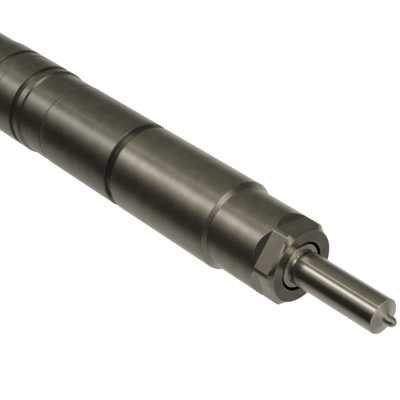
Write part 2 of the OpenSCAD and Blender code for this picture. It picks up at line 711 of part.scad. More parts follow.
module valve_ball() color([0.85, 0.85, 0.88]) lay() translate([0, 0, ball_z]) sphere(r = ball_r);

module ball_guide() color([0.65, 0.65, 0.68]) lay() difference() {
    bar(ball_guide_d / 2, ball_guide_z, pin_z);
    translate([0, 0, ball_z]) sphere(r = ball_r + seal_gap);
}

module armature_guide() color([0.66, 0.66, 0.64]) lay() difference() {
    turned([
        [0, valve_top_z], [valve_flange_r - seat_gap, valve_top_z], [valve_flange_r - seat_gap, guide_flange_z],
        [guide_sleeve_d / 2, guide_flange_z], [guide_sleeve_d / 2, guide_sleeve_z], [0, guide_sleeve_z]
    ]);
    bar(pin_d / 2 + slide_gap, valve_top_z - eps, guide_sleeve_z + eps);
    bar(spill_r + spill_room, valve_top_z - eps, valve_top_z + spill_h);
    for (i = [0:2]) rotate([0, 0, 120 * i])
        translate([spill_r, 0, valve_top_z]) cylinder(d = spill_d, h = guide_flange_h + clear);
}

module valve_clamp_nut() color([0.5, 0.5, 0.52]) lay() difference() {
    ring(clamp_thread_d / 2 - thread_gap, clamp_nut_bore / 2, guide_flange_z, guide_flange_z + clamp_nut_h);
    for (i = [0:3]) rotate([0, 0, 90 * i])
        translate([clamp_nut_bore / 2 - clear, -clamp_slot_w / 2, guide_flange_z + clamp_nut_h - clamp_slot_deep])
            cube([(clamp_thread_d - clamp_nut_bore) / 2 + 2 * clear, clamp_slot_w, clamp_slot_deep + clear]);
}

module armature_pin() color([0.75, 0.75, 0.78]) lay() turned([
    [0, pin_z], [pin_d / 2 - edge_fine, pin_z], [pin_d / 2, pin_z + edge_fine], [pin_d / 2, plate_top_z],
    [lock_groove_r, plate_top_z], [lock_groove_r, plate_top_z + lock_h], [pin_d / 2, plate_top_z + lock_h],
    [pin_d / 2, valve_spring_z], [pin_stub_d / 2, valve_spring_z],
    [pin_stub_d / 2, valve_spring_z + pin_stub_h], [0, valve_spring_z + pin_stub_h]
]);

module armature_plate() color([0.55, 0.55, 0.56]) lay() difference() {
    bar(plate_d / 2, plate_z, plate_top_z);
    bar(pin_d / 2 + slide_gap, plate_z - eps, plate_top_z + eps);
    for (i = [0:3]) rotate([0, 0, 45 + 90 * i])
        translate([plate_d / 2 - plate_slot_len, -plate_slot_w / 2, plate_z - clear])
            cube([plate_slot_len + clear, plate_slot_w, plate_t + 2 * clear]);
}

module armature_lock_ring() color([0.6, 0.6, 0.62]) lay() difference() {
    ring(lock_r, lock_groove_r + slide_gap, plate_top_z, plate_top_z + lock_h);
    translate([0, -lock_groove_r * lock_mouth, plate_top_z - clear])
        cube([2 * lock_r, 2 * lock_groove_r * lock_mouth, lock_h + 2 * clear]);
}

module overtravel_spring() color([0.4, 0.4, 0.42]) lay()
    coil(over_coil_d, over_wire, guide_flange_z, plate_z - guide_flange_z, turns = 5, sides = 6, per_turn = 16);

module lift_shim() color([0.8, 0.76, 0.6]) lay()
    ring(shell_r, core_r + shim_in, pole_seat_z, pole_z);

// ---- solenoid ----

module magnet_core() color([0.33, 0.33, 0.35]) lay() difference() {
    bar(core_r, pole_z, core_top_z);
    bar(core_bore_r, pole_z - eps, core_top_z + eps);
    ring(slot_out_r, slot_in_r, pole_z - eps, pole_z + slot_h);
    for (side = [-1, 1]) translate([side * blade_x, -blade_y, core_top_z - blade_hole_deep])
        cylinder(d = blade_hole_d, h = blade_hole_deep + clear);
}

module coil_bobbin() color([0.85, 0.82, 0.72]) lay() difference() {
    ring(slot_out_r - bobbin_gap, slot_in_r + bobbin_gap, pole_z + bobbin_z, pole_z + slot_h);
    ring(slot_out_r + clear, winding_r, winding_z, pole_z + slot_h - bobbin_wall);
}

module solenoid_coil() color([0.72, 0.4, 0.22]) lay()
    ring(slot_out_r - winding_gap, winding_r, winding_z, pole_z + slot_h - bobbin_wall);

module solenoid_shell() color([0.6, 0.6, 0.58]) lay() difference() {
    turned([
        [0, pole_z], [shell_r - edge, pole_z], [shell_r, pole_z + edge], [shell_r, flange_z],
        [flange_r, flange_z], [flange_r, flange_top_z], [shell_r, flange_top_z],
        [shell_r, shell_top_z - edge], [shell_r - edge, shell_top_z], [0, shell_top_z]
    ]);
    bar(core_r + slide_gap, pole_z - eps, core_top_z);
    bar(core_bore_r, core_top_z - eps, return_z);
    bar(return_d / 2, return_z - eps, shell_top_z + eps);
    ring(shell_r + clear, ring_mid_r - ring_wire / 2 - slide_gap, ring_groove_z, ring_groove_z + ring_groove_w);
    for (side = [-1, 1]) translate([side * blade_x, -blade_y, core_top_z - clear])
        cylinder(d = blade_sleeve_d, h = shell_top_h + 2 * clear);
}

module solenoid_o_ring() color([0.1, 0.1, 0.1]) lay()
    rotate_extrude() translate([ring_mid_r, ring_groove_z + ring_groove_w / 2]) circle(d = ring_wire);

module valve_spring() color([0.4, 0.4, 0.42]) lay()
    coil(valve_coil_d, valve_wire, valve_spring_z, force_shim_z - valve_spring_z,
        turns = 8, sides = 6, per_turn = 14);

module force_shim() color([0.8, 0.76, 0.6]) lay()
    ring(core_bore_r - seat_gap, force_shim_bore / 2, force_shim_z, return_z);

module solenoid_nut() color([0.5, 0.49, 0.45]) lay() difference() {
    corner_r = cap_af / 2 * af_to_corner;
    intersection() {
        hex_bar(cap_af, cap_nut_z, cap_nut_top_z, hex_half);
        turned([
            [0, cap_nut_z], [cap_af / 2 - cap_nut_ring_in, cap_nut_z], [corner_r, cap_nut_z + cap_nut_chamfer_h],
            [corner_r, cap_nut_top_z - cap_nut_chamfer_h], [cap_af / 2 - cap_nut_ring_in, cap_nut_top_z],
            [0, cap_nut_top_z]
        ]);
    }
    bar(top_thread_d / 2 + thread_gap, cap_nut_z - eps, body_top_z + cap_nut_step);
    bar(cap_nut_bore_r, body_top_z + cap_nut_step - eps, flange_top_z);
    bar(shell_r + cap_nut_lip_gap, flange_top_z - eps, cap_nut_top_z + eps);
}

// ---- connector cap ----

// rounded block across the socket, from y to the socket's mouth
module socket_block(w, h, y0, y1, round_r) {
    translate([0, -y0, socket_z]) rotate([90, 0, 0]) linear_extrude(y1 - y0) union() {
        square([w - 2 * round_r, h], center = true);
        square([w, h - 2 * round_r], center = true);
        for (x = [-1, 1], y = [-1, 1])
            translate([x * (w / 2 - round_r), y * (h / 2 - round_r)]) circle(r = round_r);
    }
}

// blade: straight up out of the magnet, then out into the socket
module blade(side, grow = 0) {
    translate([side * blade_x - blade_w / 2 - grow, -blade_y - blade_t / 2 - grow, core_top_z + blade_lift - grow])
        cube([blade_w + 2 * grow, blade_t + 2 * grow, socket_z + blade_t / 2 - core_top_z - blade_lift + 2 * grow]);
    translate([side * blade_x - blade_w / 2 - grow, -blade_end, socket_z - blade_t / 2 - grow])
        cube([blade_w + 2 * grow, blade_end - blade_y + blade_t / 2 + grow, blade_t + 2 * grow]);
}

module connector_cap() color([0.09, 0.09, 0.1]) lay() difference() {
    union() {
        turned([
            [0, cap_z], [cap_d / 2, cap_z], [cap_d / 2, cap_top_z - cap_round],
            [cap_d / 2 - cap_round, cap_top_z], [return_d / 2 + return_foot, cap_top_z],
            [return_d / 2 + return_foot_top, return_out_z], [0, return_out_z]
        ]);
        socket_block(socket_w, socket_h, cap_d / 2 - socket_root, socket_end, socket_round);
        // collar and latch nose on the socket
        socket_block(socket_w + 2 * collar_out, socket_h + 2 * collar_out, socket_end - collar_back,
            socket_end - collar_back + collar_w, socket_round + collar_out);
        translate([-latch_size[0] / 2, -socket_end + latch_back, socket_z + socket_h / 2 - latch_sunk])
            cube(latch_size);
        // two ribs between the socket and the cap
        for (side = [-1, 1]) translate([side * rib_x - rib_size[0] / 2, -socket_end + rib_back, cap_z + rib_lift])
            cube(rib_size);
    }
    bar(shell_r + slide_gap, cap_z - eps, shell_top_z);
    bar(return_d / 2 + slide_gap, shell_top_z - eps, return_out_z + clear);
    socket_block(socket_w - 2 * socket_wall, socket_h - 2 * socket_wall, socket_floor, socket_end + clear,
        socket_round - socket_wall);
    for (side = [-1, 1]) blade(side, slide_gap);
}

module terminal_pins() color([0.8, 0.72, 0.45]) lay() for (side = [-1, 1]) blade(side);

module return_spigot() color([0.62, 0.6, 0.55]) lay() difference() {
    end_z = return_out_z + return_len;
    r = return_d / 2;
    turned([
        [0, return_z], [r, return_z], [r, return_out_z], [r + return_collar_out, return_out_z],
        [r + return_collar_out, return_out_z + return_collar_h], [r, return_out_z + return_collar_h],
        [r, end_z - barb_1], [r + barb_out, end_z - barb_1], [r, end_z - barb_1 + barb_len],
        [r, end_z - barb_2], [r + barb_out, end_z - barb_2], [r - return_tip_in, end_z], [0, end_z]
    ]);
    bar(return_bore_d / 2, return_z - eps, end_z + eps);
}

nozzle_body();
nozzle_needle();
nozzle_dowels();
nozzle_nut();
injector_body();
pressure_pin();
nozzle_spring();
spring_shim();
control_piston();
inlet_connector();
edge_filter();
valve_body();
valve_seal_ring();
valve_ball();
ball_guide();
armature_guide();
valve_clamp_nut();
armature_pin();
armature_plate();
armature_lock_ring();
overtravel_spring();
lift_shim();
magnet_core();
coil_bobbin();
solenoid_coil();
solenoid_shell();
solenoid_o_ring();
valve_spring();
force_shim();
solenoid_nut();
connector_cap();
terminal_pins();
return_spigot();
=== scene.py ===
# %% [markdown]
# # A common-rail diesel injector
# The imported model brings in every separate piece of the injector, in metres, with its axis along X:
# the nozzle tip points to +X and the plug and the leak-off spigot are at the -X end.
# This lesson keeps most inner pieces as they come, gives each one a proper finish, and turns the
# outer pieces again on a finer lathe, because their edges are what the light catches. Two springs
# are wound again.

# %% Load the frame
import json
from math import cos, pi, radians, sin, tan
import bmesh
import bpy
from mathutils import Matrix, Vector


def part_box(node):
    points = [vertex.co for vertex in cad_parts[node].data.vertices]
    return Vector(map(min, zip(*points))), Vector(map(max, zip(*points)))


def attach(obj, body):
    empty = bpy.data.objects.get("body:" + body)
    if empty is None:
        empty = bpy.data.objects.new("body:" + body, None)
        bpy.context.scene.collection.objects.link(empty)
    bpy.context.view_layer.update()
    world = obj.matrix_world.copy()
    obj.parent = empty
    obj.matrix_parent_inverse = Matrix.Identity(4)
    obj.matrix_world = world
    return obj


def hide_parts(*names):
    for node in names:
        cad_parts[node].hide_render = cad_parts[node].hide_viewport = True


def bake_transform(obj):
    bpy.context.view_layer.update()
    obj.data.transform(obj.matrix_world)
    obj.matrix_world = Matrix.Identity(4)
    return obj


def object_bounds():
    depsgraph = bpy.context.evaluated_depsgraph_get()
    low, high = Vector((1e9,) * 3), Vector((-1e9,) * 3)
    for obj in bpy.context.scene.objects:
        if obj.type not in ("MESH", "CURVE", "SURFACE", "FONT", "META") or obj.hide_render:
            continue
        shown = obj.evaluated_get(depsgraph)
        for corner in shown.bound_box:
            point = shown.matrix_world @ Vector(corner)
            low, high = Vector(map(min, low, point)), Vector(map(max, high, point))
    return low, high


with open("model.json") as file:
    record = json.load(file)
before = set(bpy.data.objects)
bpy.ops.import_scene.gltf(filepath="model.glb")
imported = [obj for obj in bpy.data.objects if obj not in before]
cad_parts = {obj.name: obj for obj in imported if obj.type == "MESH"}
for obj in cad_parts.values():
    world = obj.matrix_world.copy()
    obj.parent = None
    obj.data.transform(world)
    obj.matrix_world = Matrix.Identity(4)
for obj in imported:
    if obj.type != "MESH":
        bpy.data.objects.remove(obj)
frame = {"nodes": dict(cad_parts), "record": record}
cad_low, cad_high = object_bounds()
nodes = frame["nodes"]
mounts = {mount["name"]: mount for mount in frame["record"]["mounts"]}

# %% [markdown]
# ## The viewpoint
# A long lens from a little above and in front of the nozzle, as in a parts catalogue. A long lens
# keeps the two sides of a round bar nearly parallel. The camera is placed by its azimuth and
# elevation round a point on the axis, so that both angles can be read off and changed.

# %% Camera
VIEW_AZIMUTH = 47.84
VIEW_ELEVATION = 33.97
VIEW_DISTANCE = 0.2557
LENS = 116.1
AIM = Vector((-0.0285, 0.0004, 0.0004))


def toward_lens():
    """The direction from the injector to the camera."""
    azimuth, elevation = radians(VIEW_AZIMUTH), radians(VIEW_ELEVATION)
    return Vector((sin(azimuth) * cos(elevation), -cos(azimuth) * cos(elevation), sin(elevation)))


def add_camera():
    back = toward_lens()
    data = bpy.data.cameras.new("catalogue_lens")
    data.lens = LENS
    data.clip_start = 0.01
    data.clip_end = 20
    camera = bpy.data.objects.new("catalogue_camera", data)
    camera.location = AIM + VIEW_DISTANCE * back
    camera.rotation_euler = back.to_track_quat("Z", "Y").to_euler()
    bpy.context.collection.objects.link(camera)
    bpy.context.scene.camera = camera
    return camera


camera = add_camera()
print("camera at", [round(v, 4) for v in camera.location])

# %% [markdown]
# ## The light
# Bare steel shows its surroundings more than its own colour, so the room is designed first.
# Two strip boxes run along the injector, overhead and to the front; below them is a dark table
# edge, and then the pale glow of the table. A round bar then shows one bright band, a dark band
# under it and a soft lift at its lower edge. The room is a colour ramp over the angle round the
# X axis, which is why the bands stay straight along every turned face. A third strip
# hangs overhead beyond the nozzle end only, and three dark cards take the glare off the faces that
# look at them.
# Only mirror-like reflections see the strips. Everything else is lit by an even white tent.

# %% Helpers for node trees
def add(tree, kind, inputs=(), **settings):
    """Add a node, set its options, then fill its inputs with values or with other nodes' outputs."""
    node = tree.nodes.new(kind)
    for name, value in settings.items():
        setattr(node, name, value)
    for name, value in dict(inputs).items():
        if isinstance(value, bpy.types.NodeSocket):
            tree.links.new(value, node.inputs[name])
        else:
            node.inputs[name].default_value = value
    return node


def maths(tree, operation, first, second=0.0, third=0.0):
    inputs = {0: first, 1: second, 2: third}
    return add(tree, "ShaderNodeMath", inputs, operation=operation).outputs[0]


def ramp(tree, factor, stops):
    """A colour ramp; stops are (place from 0 to 1, (red, green, blue))."""
    node = add(tree, "ShaderNodeValToRGB", {0: factor})
    elements = node.color_ramp.elements
    for place, colour in stops[1:-1]:
        elements.new(place).color = (*colour, 1)
    elements[0].position, elements[-1].position = stops[0][0], stops[-1][0]
    elements[0].color, elements[-1].color = (*stops[0][1], 1), (*stops[-1][1], 1)
    return node.outputs[0]


# %% [markdown]
# The room is written down as a list of what stands at each angle round the injector, in degrees up
# from the front: how bright it is, and its tint. A list like this is quick to retouch, and a colour
# ramp turns it into light.

# %% Light tent with two strip boxes
OLIVE = (1.0, 1.0, 0.74)
WARM = (1.0, 0.93, 0.78)
PLAIN = (1.0, 0.98, 0.90)
UMBER = (1.0, 0.88, 0.66)
LAMP = (1.0, 0.99, 0.93)
STRIPS = [
    (-180, 0.36, PLAIN), (-160, 0.65, PLAIN), (-135, 0.75, PLAIN), (-112, 0.55, PLAIN), (-90, 0.38, PLAIN),
    (-62, 0.29, PLAIN), (-44, 0.17, PLAIN), (-32, 0.06, UMBER), (-22, 0.018, UMBER), (8, 0.018, UMBER),
    (20, 0.065, UMBER), (32, 0.26, WARM), (41, 0.45, WARM), (46, 1.0, LAMP), (58, 1.0, LAMP),
    (62, 0.24, WARM), (76, 0.20, WARM), (78, 0.68, WARM), (81, 0.68, WARM), (84, 0.20, OLIVE),
    (105, 0.145, OLIVE), (125, 0.10, OLIVE), (152, 0.080, OLIVE), (170, 0.17, PLAIN), (180, 0.36, PLAIN),
]
REAR = [(-180, 0.0), (66, 0.0), (76, 0.75), (108, 0.75), (118, 0.0), (180, 0.0)]
REAR_FROM, REAR_FULL = 0.3, 0.55
LOW_CARD = (0.615, 0.557, -0.559)
HIGH_CARD = (0.476, 0.708, 0.521)
print("strips", len(STRIPS), "rear strip", len(REAR))


def facing(tree, direction, centre, start, full, least):
    """A dark card: 1 over most of the room, falling to least round the centre direction."""
    dot = add(tree, "ShaderNodeVectorMath", {0: direction, 1: centre}, operation="DOT_PRODUCT")
    inputs = {0: dot.outputs["Value"], 1: start, 2: full, 3: 1.0, 4: least}
    return add(tree, "ShaderNodeMapRange", inputs, interpolation_type="SMOOTHSTEP").outputs[0]


def around_axis(stops):
    """Turn (angle, level, tint) into places from 0 to 1 and colours for a ramp."""
    return [((angle + 180) / 360, tuple(level * part for part in tint)) for angle, level, tint in stops]


def add_room():
    world = bpy.data.worlds.new("light_tent")
    bpy.context.scene.world = world
    world.use_nodes = True
    tree = world.node_tree
    tree.nodes.clear()
    direction = add(tree, "ShaderNodeTexCoord").outputs["Generated"]
    axes = add(tree, "ShaderNodeSeparateXYZ", {0: direction})
    forward = maths(tree, "MULTIPLY", axes.outputs["Y"], -1.0)
    turn = maths(tree, "ARCTAN2", axes.outputs["Z"], forward)
    place = maths(tree, "MULTIPLY_ADD", turn, 1 / (2 * pi), 0.5)
    lens_gap = facing(tree, direction, toward_lens(), 0.84, 0.95, 0.06)
    low_card = facing(tree, direction, LOW_CARD, 0.86, 0.97, 0.18)
    high_card = facing(tree, direction, HIGH_CARD, 0.80, 0.95, 0.40)
    strips = ramp(tree, place, around_axis(STRIPS))
    rear = ramp(tree, place, around_axis([(angle, level, WARM) for angle, level in REAR]))
    along = {0: axes.outputs["X"], 1: REAR_FROM, 2: REAR_FULL}
    behind = add(tree, "ShaderNodeMapRange", along, interpolation_type="SMOOTHSTEP")
    shares = {0: behind.outputs[0], 6: strips, 7: rear}
    walls = add(tree, "ShaderNodeMix", shares, data_type="RGBA", blend_type="ADD")
    tent = add(tree, "ShaderNodeBackground", {"Color": (1, 1, 1, 1), "Strength": 1.0})
    shade = maths(tree, "MULTIPLY", maths(tree, "MULTIPLY", lens_gap, low_card), high_card)
    boxes = add(tree, "ShaderNodeBackground", {"Color": walls.outputs[2], "Strength": shade})
    glossy = add(tree, "ShaderNodeLightPath").outputs["Is Glossy Ray"]
    both = add(tree, "ShaderNodeMixShader", {0: glossy, 1: tent.outputs[0], 2: boxes.outputs[0]})
    add(tree, "ShaderNodeOutputWorld", {"Surface": both.outputs[0]})
    return world


room = add_room()
bpy.context.scene.view_settings.view_transform = "Standard"
print("room", room.name, "with", len(STRIPS), "stops round the axis")

# %% [markdown]
# ## The table
# A plain pale light table under the injector. It glows by itself, so that it stays white right up
# to the steel, and takes only a trace of shadow. The steel doesn't mirror it: its share of the
# reflections is already in the strips.

# %% Light table
TABLE_SIZE = 3.0
TABLE_GAP = 0.0002
TABLE_GLOW = 0.94


def add_table():
    level = cad_low.z - TABLE_GAP
    half = TABLE_SIZE / 2
    mesh = bpy.data.meshes.new("light_table")
    corners = [(-half, -half, level), (half, -half, level), (half, half, level), (-half, half, level)]
    mesh.from_pydata(corners, [], [(0, 1, 2, 3)])
    table = bpy.data.objects.new("light_table", mesh)
    bpy.context.collection.objects.link(table)
    material = bpy.data.materials.new("opal_sheet")
    material.use_nodes = True
    tree = material.node_tree
    tree.nodes.clear()
    glow = add(tree, "ShaderNodeEmission", {"Color": (1, 1, 1, 1), "Strength": TABLE_GLOW})
    sheet = add(tree, "ShaderNodeBsdfDiffuse", {"Color": (0.1, 0.1, 0.1, 1)})
    both = add(tree, "ShaderNodeAddShader", {0: glow.outputs[0], 1: sheet.outputs[0]})
    add(tree, "ShaderNodeOutputMaterial", {"Surface": both.outputs[0]})
    mesh.materials.append(material)
    table.visible_glossy = False
    return table


table = add_table()
print("table top at", round(cad_low.z - TABLE_GAP, 5))

# %% [markdown]
# ## Steel
# Almost every piece is steel, so one recipe makes them all, with its numbers changed.
# Tool marks run round the axis: noise is squeezed along X and stretched across it, which gives
# fine broken rings. Wide soft blotches stand for the phosphate or oil film, small specks for
# handling marks, and edges are rubbed a little brighter. The marks are so shallow that only
# the gloss shows them, so they go into the roughness and a small bump. Where the nozzle passes
# through the nut, both steels can be darkened almost to black over a range of radius: painted
# shade on the walls of the deep narrow gap between them.

# %% Steel recipe
MM = 0.001
MICRON = 1e-6
INSIDE_NUT = -6
# Painted shade: colour and extra roughness for the walls of the gap between the nozzle and the nut.
GAP_SHADE_COLOUR = (0.03, 0.028, 0.025)
GAP_SHADE_ROUGHER = 0.4
DULL_ROUGHER = 0.22
LIGHTEST = 0.95


def blank_material(name):
    material = bpy.data.materials.new(name)
    material.use_nodes = True
    tree = material.node_tree
    tree.nodes.clear()
    shader = add(tree, "ShaderNodeBsdfPrincipled")
    add(tree, "ShaderNodeOutputMaterial", {"Surface": shader.outputs[0]})
    return material, tree, shader


def place_in(tree, stretch=(1, 1, 1)):
    """The place on the piece in millimetres, stretched along each axis."""
    where = add(tree, "ShaderNodeTexCoord").outputs["Object"]
    scale = [part / MM for part in stretch]
    return add(tree, "ShaderNodeVectorMath", {0: where, 1: scale}, operation="MULTIPLY").outputs[0]


def noise(tree, vector, scale, detail=3.0, roughness=0.55):
    inputs = {"Vector": vector, "Scale": scale, "Detail": detail, "Roughness": roughness}
    return add(tree, "ShaderNodeTexNoise", inputs).outputs[0]


def levels(tree, value, low, high, out_low=0.0, out_high=1.0):
    node = add(tree, "ShaderNodeMapRange", {0: value, 1: low, 2: high, 3: out_low, 4: out_high})
    return node.outputs[0]


def blend_colours(tree, factor, first, second):
    node = add(tree, "ShaderNodeMix", data_type="RGBA")
    for socket, value in zip((node.inputs[0], node.inputs[6], node.inputs[7]), (factor, first, second)):
        if isinstance(value, bpy.types.NodeSocket):
            tree.links.new(value, socket)
        else:
            socket.default_value = value if socket is node.inputs[0] else (*value, 1)
    return node.outputs[2]


def between(tree, value, low, high, fade=0.05):
    """1 while the value is between low and high, 0 elsewhere."""
    rising = levels(tree, value, low, low + fade)
    return maths(tree, "MULTIPLY", rising, levels(tree, value, high, high + fade, 1.0, 0.0))


def tinted(colour, share):
    """The colour made lighter or darker by a share, and kept below pure white."""
    return tuple(min(part * share, LIGHTEST) for part in colour)


def steel(name, colour, rough, marks=0.5, ring=10.0, blotch=0.12, specks=0.3, wear=0.35, brushed=0.0,
          gap_shade=None, dull=()):
    """Bare or coated steel. ring is tool marks per millimetre, marks their depth in micrometres.
    gap_shade is a range of radius and the station it ends at, where the steel is darkened to painted shade;
    dull lists ranges of stations with less gloss."""
    material, tree, shader = blank_material(name)
    rings = noise(tree, place_in(tree, (ring, 0.25, 0.25)), 1.0, 2.0)
    film = noise(tree, place_in(tree), 0.35, 4.0)
    grain = noise(tree, place_in(tree), 9.0, 3.0, 0.7)
    dark, light = tinted(colour, 1 - blotch), tinted(colour, 1 + blotch)
    filmed = blend_colours(tree, levels(tree, film, 0.35, 0.65), dark, light)
    worn = noise(tree, place_in(tree, (0.7, 1, 1)), 4.5, 2.0, 0.6)
    scratch = maths(tree, "MULTIPLY", levels(tree, worn, 0.66, 0.74), specks)
    marked = blend_colours(tree, scratch, filmed, tinted(colour, 1.7))
    edge = add(tree, "ShaderNodeNewGeometry").outputs["Pointiness"]
    rubbed = maths(tree, "MULTIPLY", levels(tree, edge, 0.52, 0.60), wear)
    finished = blend_colours(tree, rubbed, marked, tinted(colour, 1.6))
    ring_gloss = levels(tree, rings, 0.3, 0.7, rough * 0.95, rough * 1.05)
    gloss = maths(tree, "ADD", ring_gloss, levels(tree, film, 0.3, 0.7, -0.02, 0.02))
    station = add(tree, "ShaderNodeSeparateXYZ", {0: place_in(tree)}).outputs["X"]
    # Painted shade: the walls of the narrow gap where the nozzle passes through the nut are darkened almost
    # to black.
    if gap_shade:
        inner, outer, last = gap_shade
        across = add(tree, "ShaderNodeVectorMath", {0: place_in(tree, (0, 1, 1))}, operation="LENGTH")
        in_gap = between(tree, across.outputs["Value"], inner, outer)
        gap_shaded = maths(tree, "MULTIPLY", in_gap, between(tree, station, INSIDE_NUT, last))
        finished = blend_colours(tree, gap_shaded, finished, GAP_SHADE_COLOUR)
        gloss = maths(tree, "MULTIPLY_ADD", gap_shaded, GAP_SHADE_ROUGHER, ring_gloss)
    for start, end in dull:
        dulled = maths(tree, "MULTIPLY", between(tree, station, start, end), DULL_ROUGHER)
        gloss = maths(tree, "ADD", gloss, dulled)
    tree.links.new(finished, shader.inputs["Base Color"])
    tree.links.new(gloss, shader.inputs["Roughness"])
    shader.inputs["Metallic"].default_value = 1.0
    height = maths(tree, "ADD", rings, maths(tree, "MULTIPLY", grain, 0.5))
    bump = add(tree, "ShaderNodeBump", {"Strength": 1.0, "Distance": marks * MICRON, "Height": height})
    tree.links.new(bump.outputs[0], shader.inputs["Normal"])
    if brushed:
        shader.inputs["Anisotropic"].default_value = brushed
        shader.inputs["Anisotropic Rotation"].default_value = 0.25
        where = add(tree, "ShaderNodeTexCoord").outputs["Object"]
        around = add(tree, "ShaderNodeVectorMath", {0: (1, 0, 0), 1: where}, operation="CROSS_PRODUCT")
        tree.links.new(around.outputs[0], shader.inputs["Tangent"])
    return material


# The nozzle and nut steels take painted shade where they face each other across the gap.
FINISHES = {
    "bright_steel": steel("ground_nozzle_steel", (0.79, 0.76, 0.70), 0.165, 0.2, 14, 0.04, 0.1, 0.1, 0.8,
                          gap_shade=(4.42, 4.6, -0.45), dull=((INSIDE_NUT, 0.2), (19.8, 23))),
    "nut_steel": steel("nut_phosphate_steel", (0.54, 0.51, 0.445), 0.275, 0.2, 9, 0.10, 0.7, 0.3,
                       gap_shade=(4.0, 5.1, -0.12)),
    "body_steel": steel("body_phosphate_steel", (0.415, 0.398, 0.35), 0.29, 0.25, 7, 0.10, 0.6, 0.35),
    "inner_steel": steel("lapped_steel", (0.66, 0.65, 0.63), 0.18, 0.2, 16, 0.05, 0.1, 0.1),
    "spring_steel": steel("spring_wire_steel", (0.30, 0.30, 0.33), 0.34, 0.5, 3, 0.15, 0.2, 0.2),
    "shim_steel": steel("shim_strip_steel", (0.68, 0.62, 0.50), 0.25, 0.3, 6, 0.10, 0.2, 0.2),
    "fitting_steel": steel("plated_fitting_steel", (0.66, 0.64, 0.58), 0.27, 0.5, 6, 0.10, 0.3, 0.3),
    "cap_nut_steel": steel("cap_nut_phosphate_steel", (0.50, 0.49, 0.45), 0.34, 0.6, 7, 0.12, 0.3, 0.35),
    "soft_iron": steel("pressed_iron", (0.33, 0.33, 0.35), 0.45, 1.5, 2, 0.2, 0.2, 0.1),
    "tinned_bronze": steel("tinned_blade_bronze", (0.80, 0.76, 0.66), 0.24, 0.3, 5, 0.12, 0.2, 0.3),
}
print("steels", len(FINISHES))

# %% [markdown]
# ## Plastics, rubber, copper and the ceramic ball
# The cap is black glass-filled nylon: nearly black, with a fine spark-eroded grain and pale
# fibre flecks just under the skin. The bobbin is the same plastic undyed. The seals are a
# bronze-filled ring and a rubber one. The winding's copper wires show as ridges round the axis.

# %% Plastic, rubber and ceramic
def moulded(name, colour, rough, grain=1.5, size=5.0, fleck=0.0, shine=0.5):
    """A moulded skin: fine grain, slight unevenness in its gloss, and pale flecks of filler."""
    material, tree, shader = blank_material(name)
    skin = noise(tree, place_in(tree), size, 3.0, 0.6)
    drift = noise(tree, place_in(tree), 0.25, 2.0)
    fibres = noise(tree, place_in(tree, (1.0, 4.0, 2.0)), 6.0, 2.0)
    base = blend_colours(tree, drift, tinted(colour, 0.85), tinted(colour, 1.15))
    pale = tuple(min(part * 2.5 + 0.02, 1.0) for part in colour)
    flecked = maths(tree, "MULTIPLY", levels(tree, fibres, 0.66, 0.74), fleck)
    tree.links.new(blend_colours(tree, flecked, base, pale), shader.inputs["Base Color"])
    tree.links.new(levels(tree, skin, 0.3, 0.7, rough * 0.9, rough * 1.1), shader.inputs["Roughness"])
    shader.inputs["Specular IOR Level"].default_value = shine
    bump = add(tree, "ShaderNodeBump", {"Strength": 1.0, "Distance": grain * MICRON, "Height": skin})
    tree.links.new(bump.outputs[0], shader.inputs["Normal"])
    return material


FINISHES["cap_plastic"] = moulded("black_glass_nylon", (0.014, 0.014, 0.015), 0.42, 6.0, 4.0, 0.35)
FINISHES["bobbin_plastic"] = moulded("natural_nylon", (0.62, 0.56, 0.42), 0.45, 3.0, 4.0, 0.2)
FINISHES["seal_plastic"] = moulded("bronze_filled_ring", (0.30, 0.20, 0.10), 0.38, 2.0, 7.0, 0.5)
FINISHES["seal_rubber"] = moulded("fuel_rubber", (0.018, 0.018, 0.018), 0.55, 4.0, 5.0, 0.05, 0.4)
FINISHES["ball_ceramic"] = moulded("lapped_ceramic", (0.70, 0.69, 0.66), 0.08, 0.1, 12.0, 0.1, 0.7)


# %% [markdown]
# The coil is one solid ring that stands for many turns of lacquered wire. Winding every turn would
# take a great many faces on a piece that is shut inside, so a wave along the axis stands for them.
# The same wave darkens the copper between the turns: painted shade in the creases.

# %% Copper winding
WIRE_DEPTH = 60


def winding(name, wire_mm):
    material, tree, shader = blank_material(name)
    inputs = {"Vector": place_in(tree), "Scale": 0.5 / wire_mm}
    groove = add(tree, "ShaderNodeTexWave", inputs, wave_profile="SIN").outputs[1]
    # Painted shade: the copper is darker in the wave's troughs, between the turns.
    colour = blend_colours(tree, groove, (0.35, 0.12, 0.05), (0.86, 0.42, 0.22))
    tree.links.new(colour, shader.inputs["Base Color"])
    lacquer = levels(tree, noise(tree, place_in(tree), 2.0), 0.3, 0.7, 0.2, 0.32)
    tree.links.new(lacquer, shader.inputs["Roughness"])
    shader.inputs["Metallic"].default_value = 1.0
    shader.inputs["Coat Weight"].default_value = 0.6
    bump = add(tree, "ShaderNodeBump", {"Strength": 1.0, "Distance": WIRE_DEPTH * MICRON, "Height": groove})
    tree.links.new(bump.outputs[0], shader.inputs["Normal"])
    return material


FINISHES["copper_wire"] = winding("enamelled_copper", 0.3)
print("finishes", sorted(FINISHES))

# %% [markdown]
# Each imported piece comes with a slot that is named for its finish. Swapping the slot's material
# dresses every piece at once, and the ones that are turned again below are dressed the same way.

# %% Put each finish on its nodes
for node in nodes.values():
    for place in node.material_slots:
        place.material = FINISHES[place.material.name]
print("finished nodes", len(nodes))

# %% [markdown]
# ## Turning the outer pieces again
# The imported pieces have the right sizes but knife-sharp edges. A turned edge on a real injector is
# broken by a tenth of a millimetre or so, and that thin round is what draws the bright lines round
# the nut and the grooves. Each outer piece is therefore described by its outline, as a lathe hand
# would: stations along the axis, the radius there, and the round on that corner. The outline is
# spun round the axis, and a small function can change the radius with the angle, which is how the
# milled flats and the screw thread are cut without any boolean.

# %% Outline with rounded corners
ROUND_STEPS = 4
SUPPORT = 0.03
MOST_OF_SIDE = 0.46


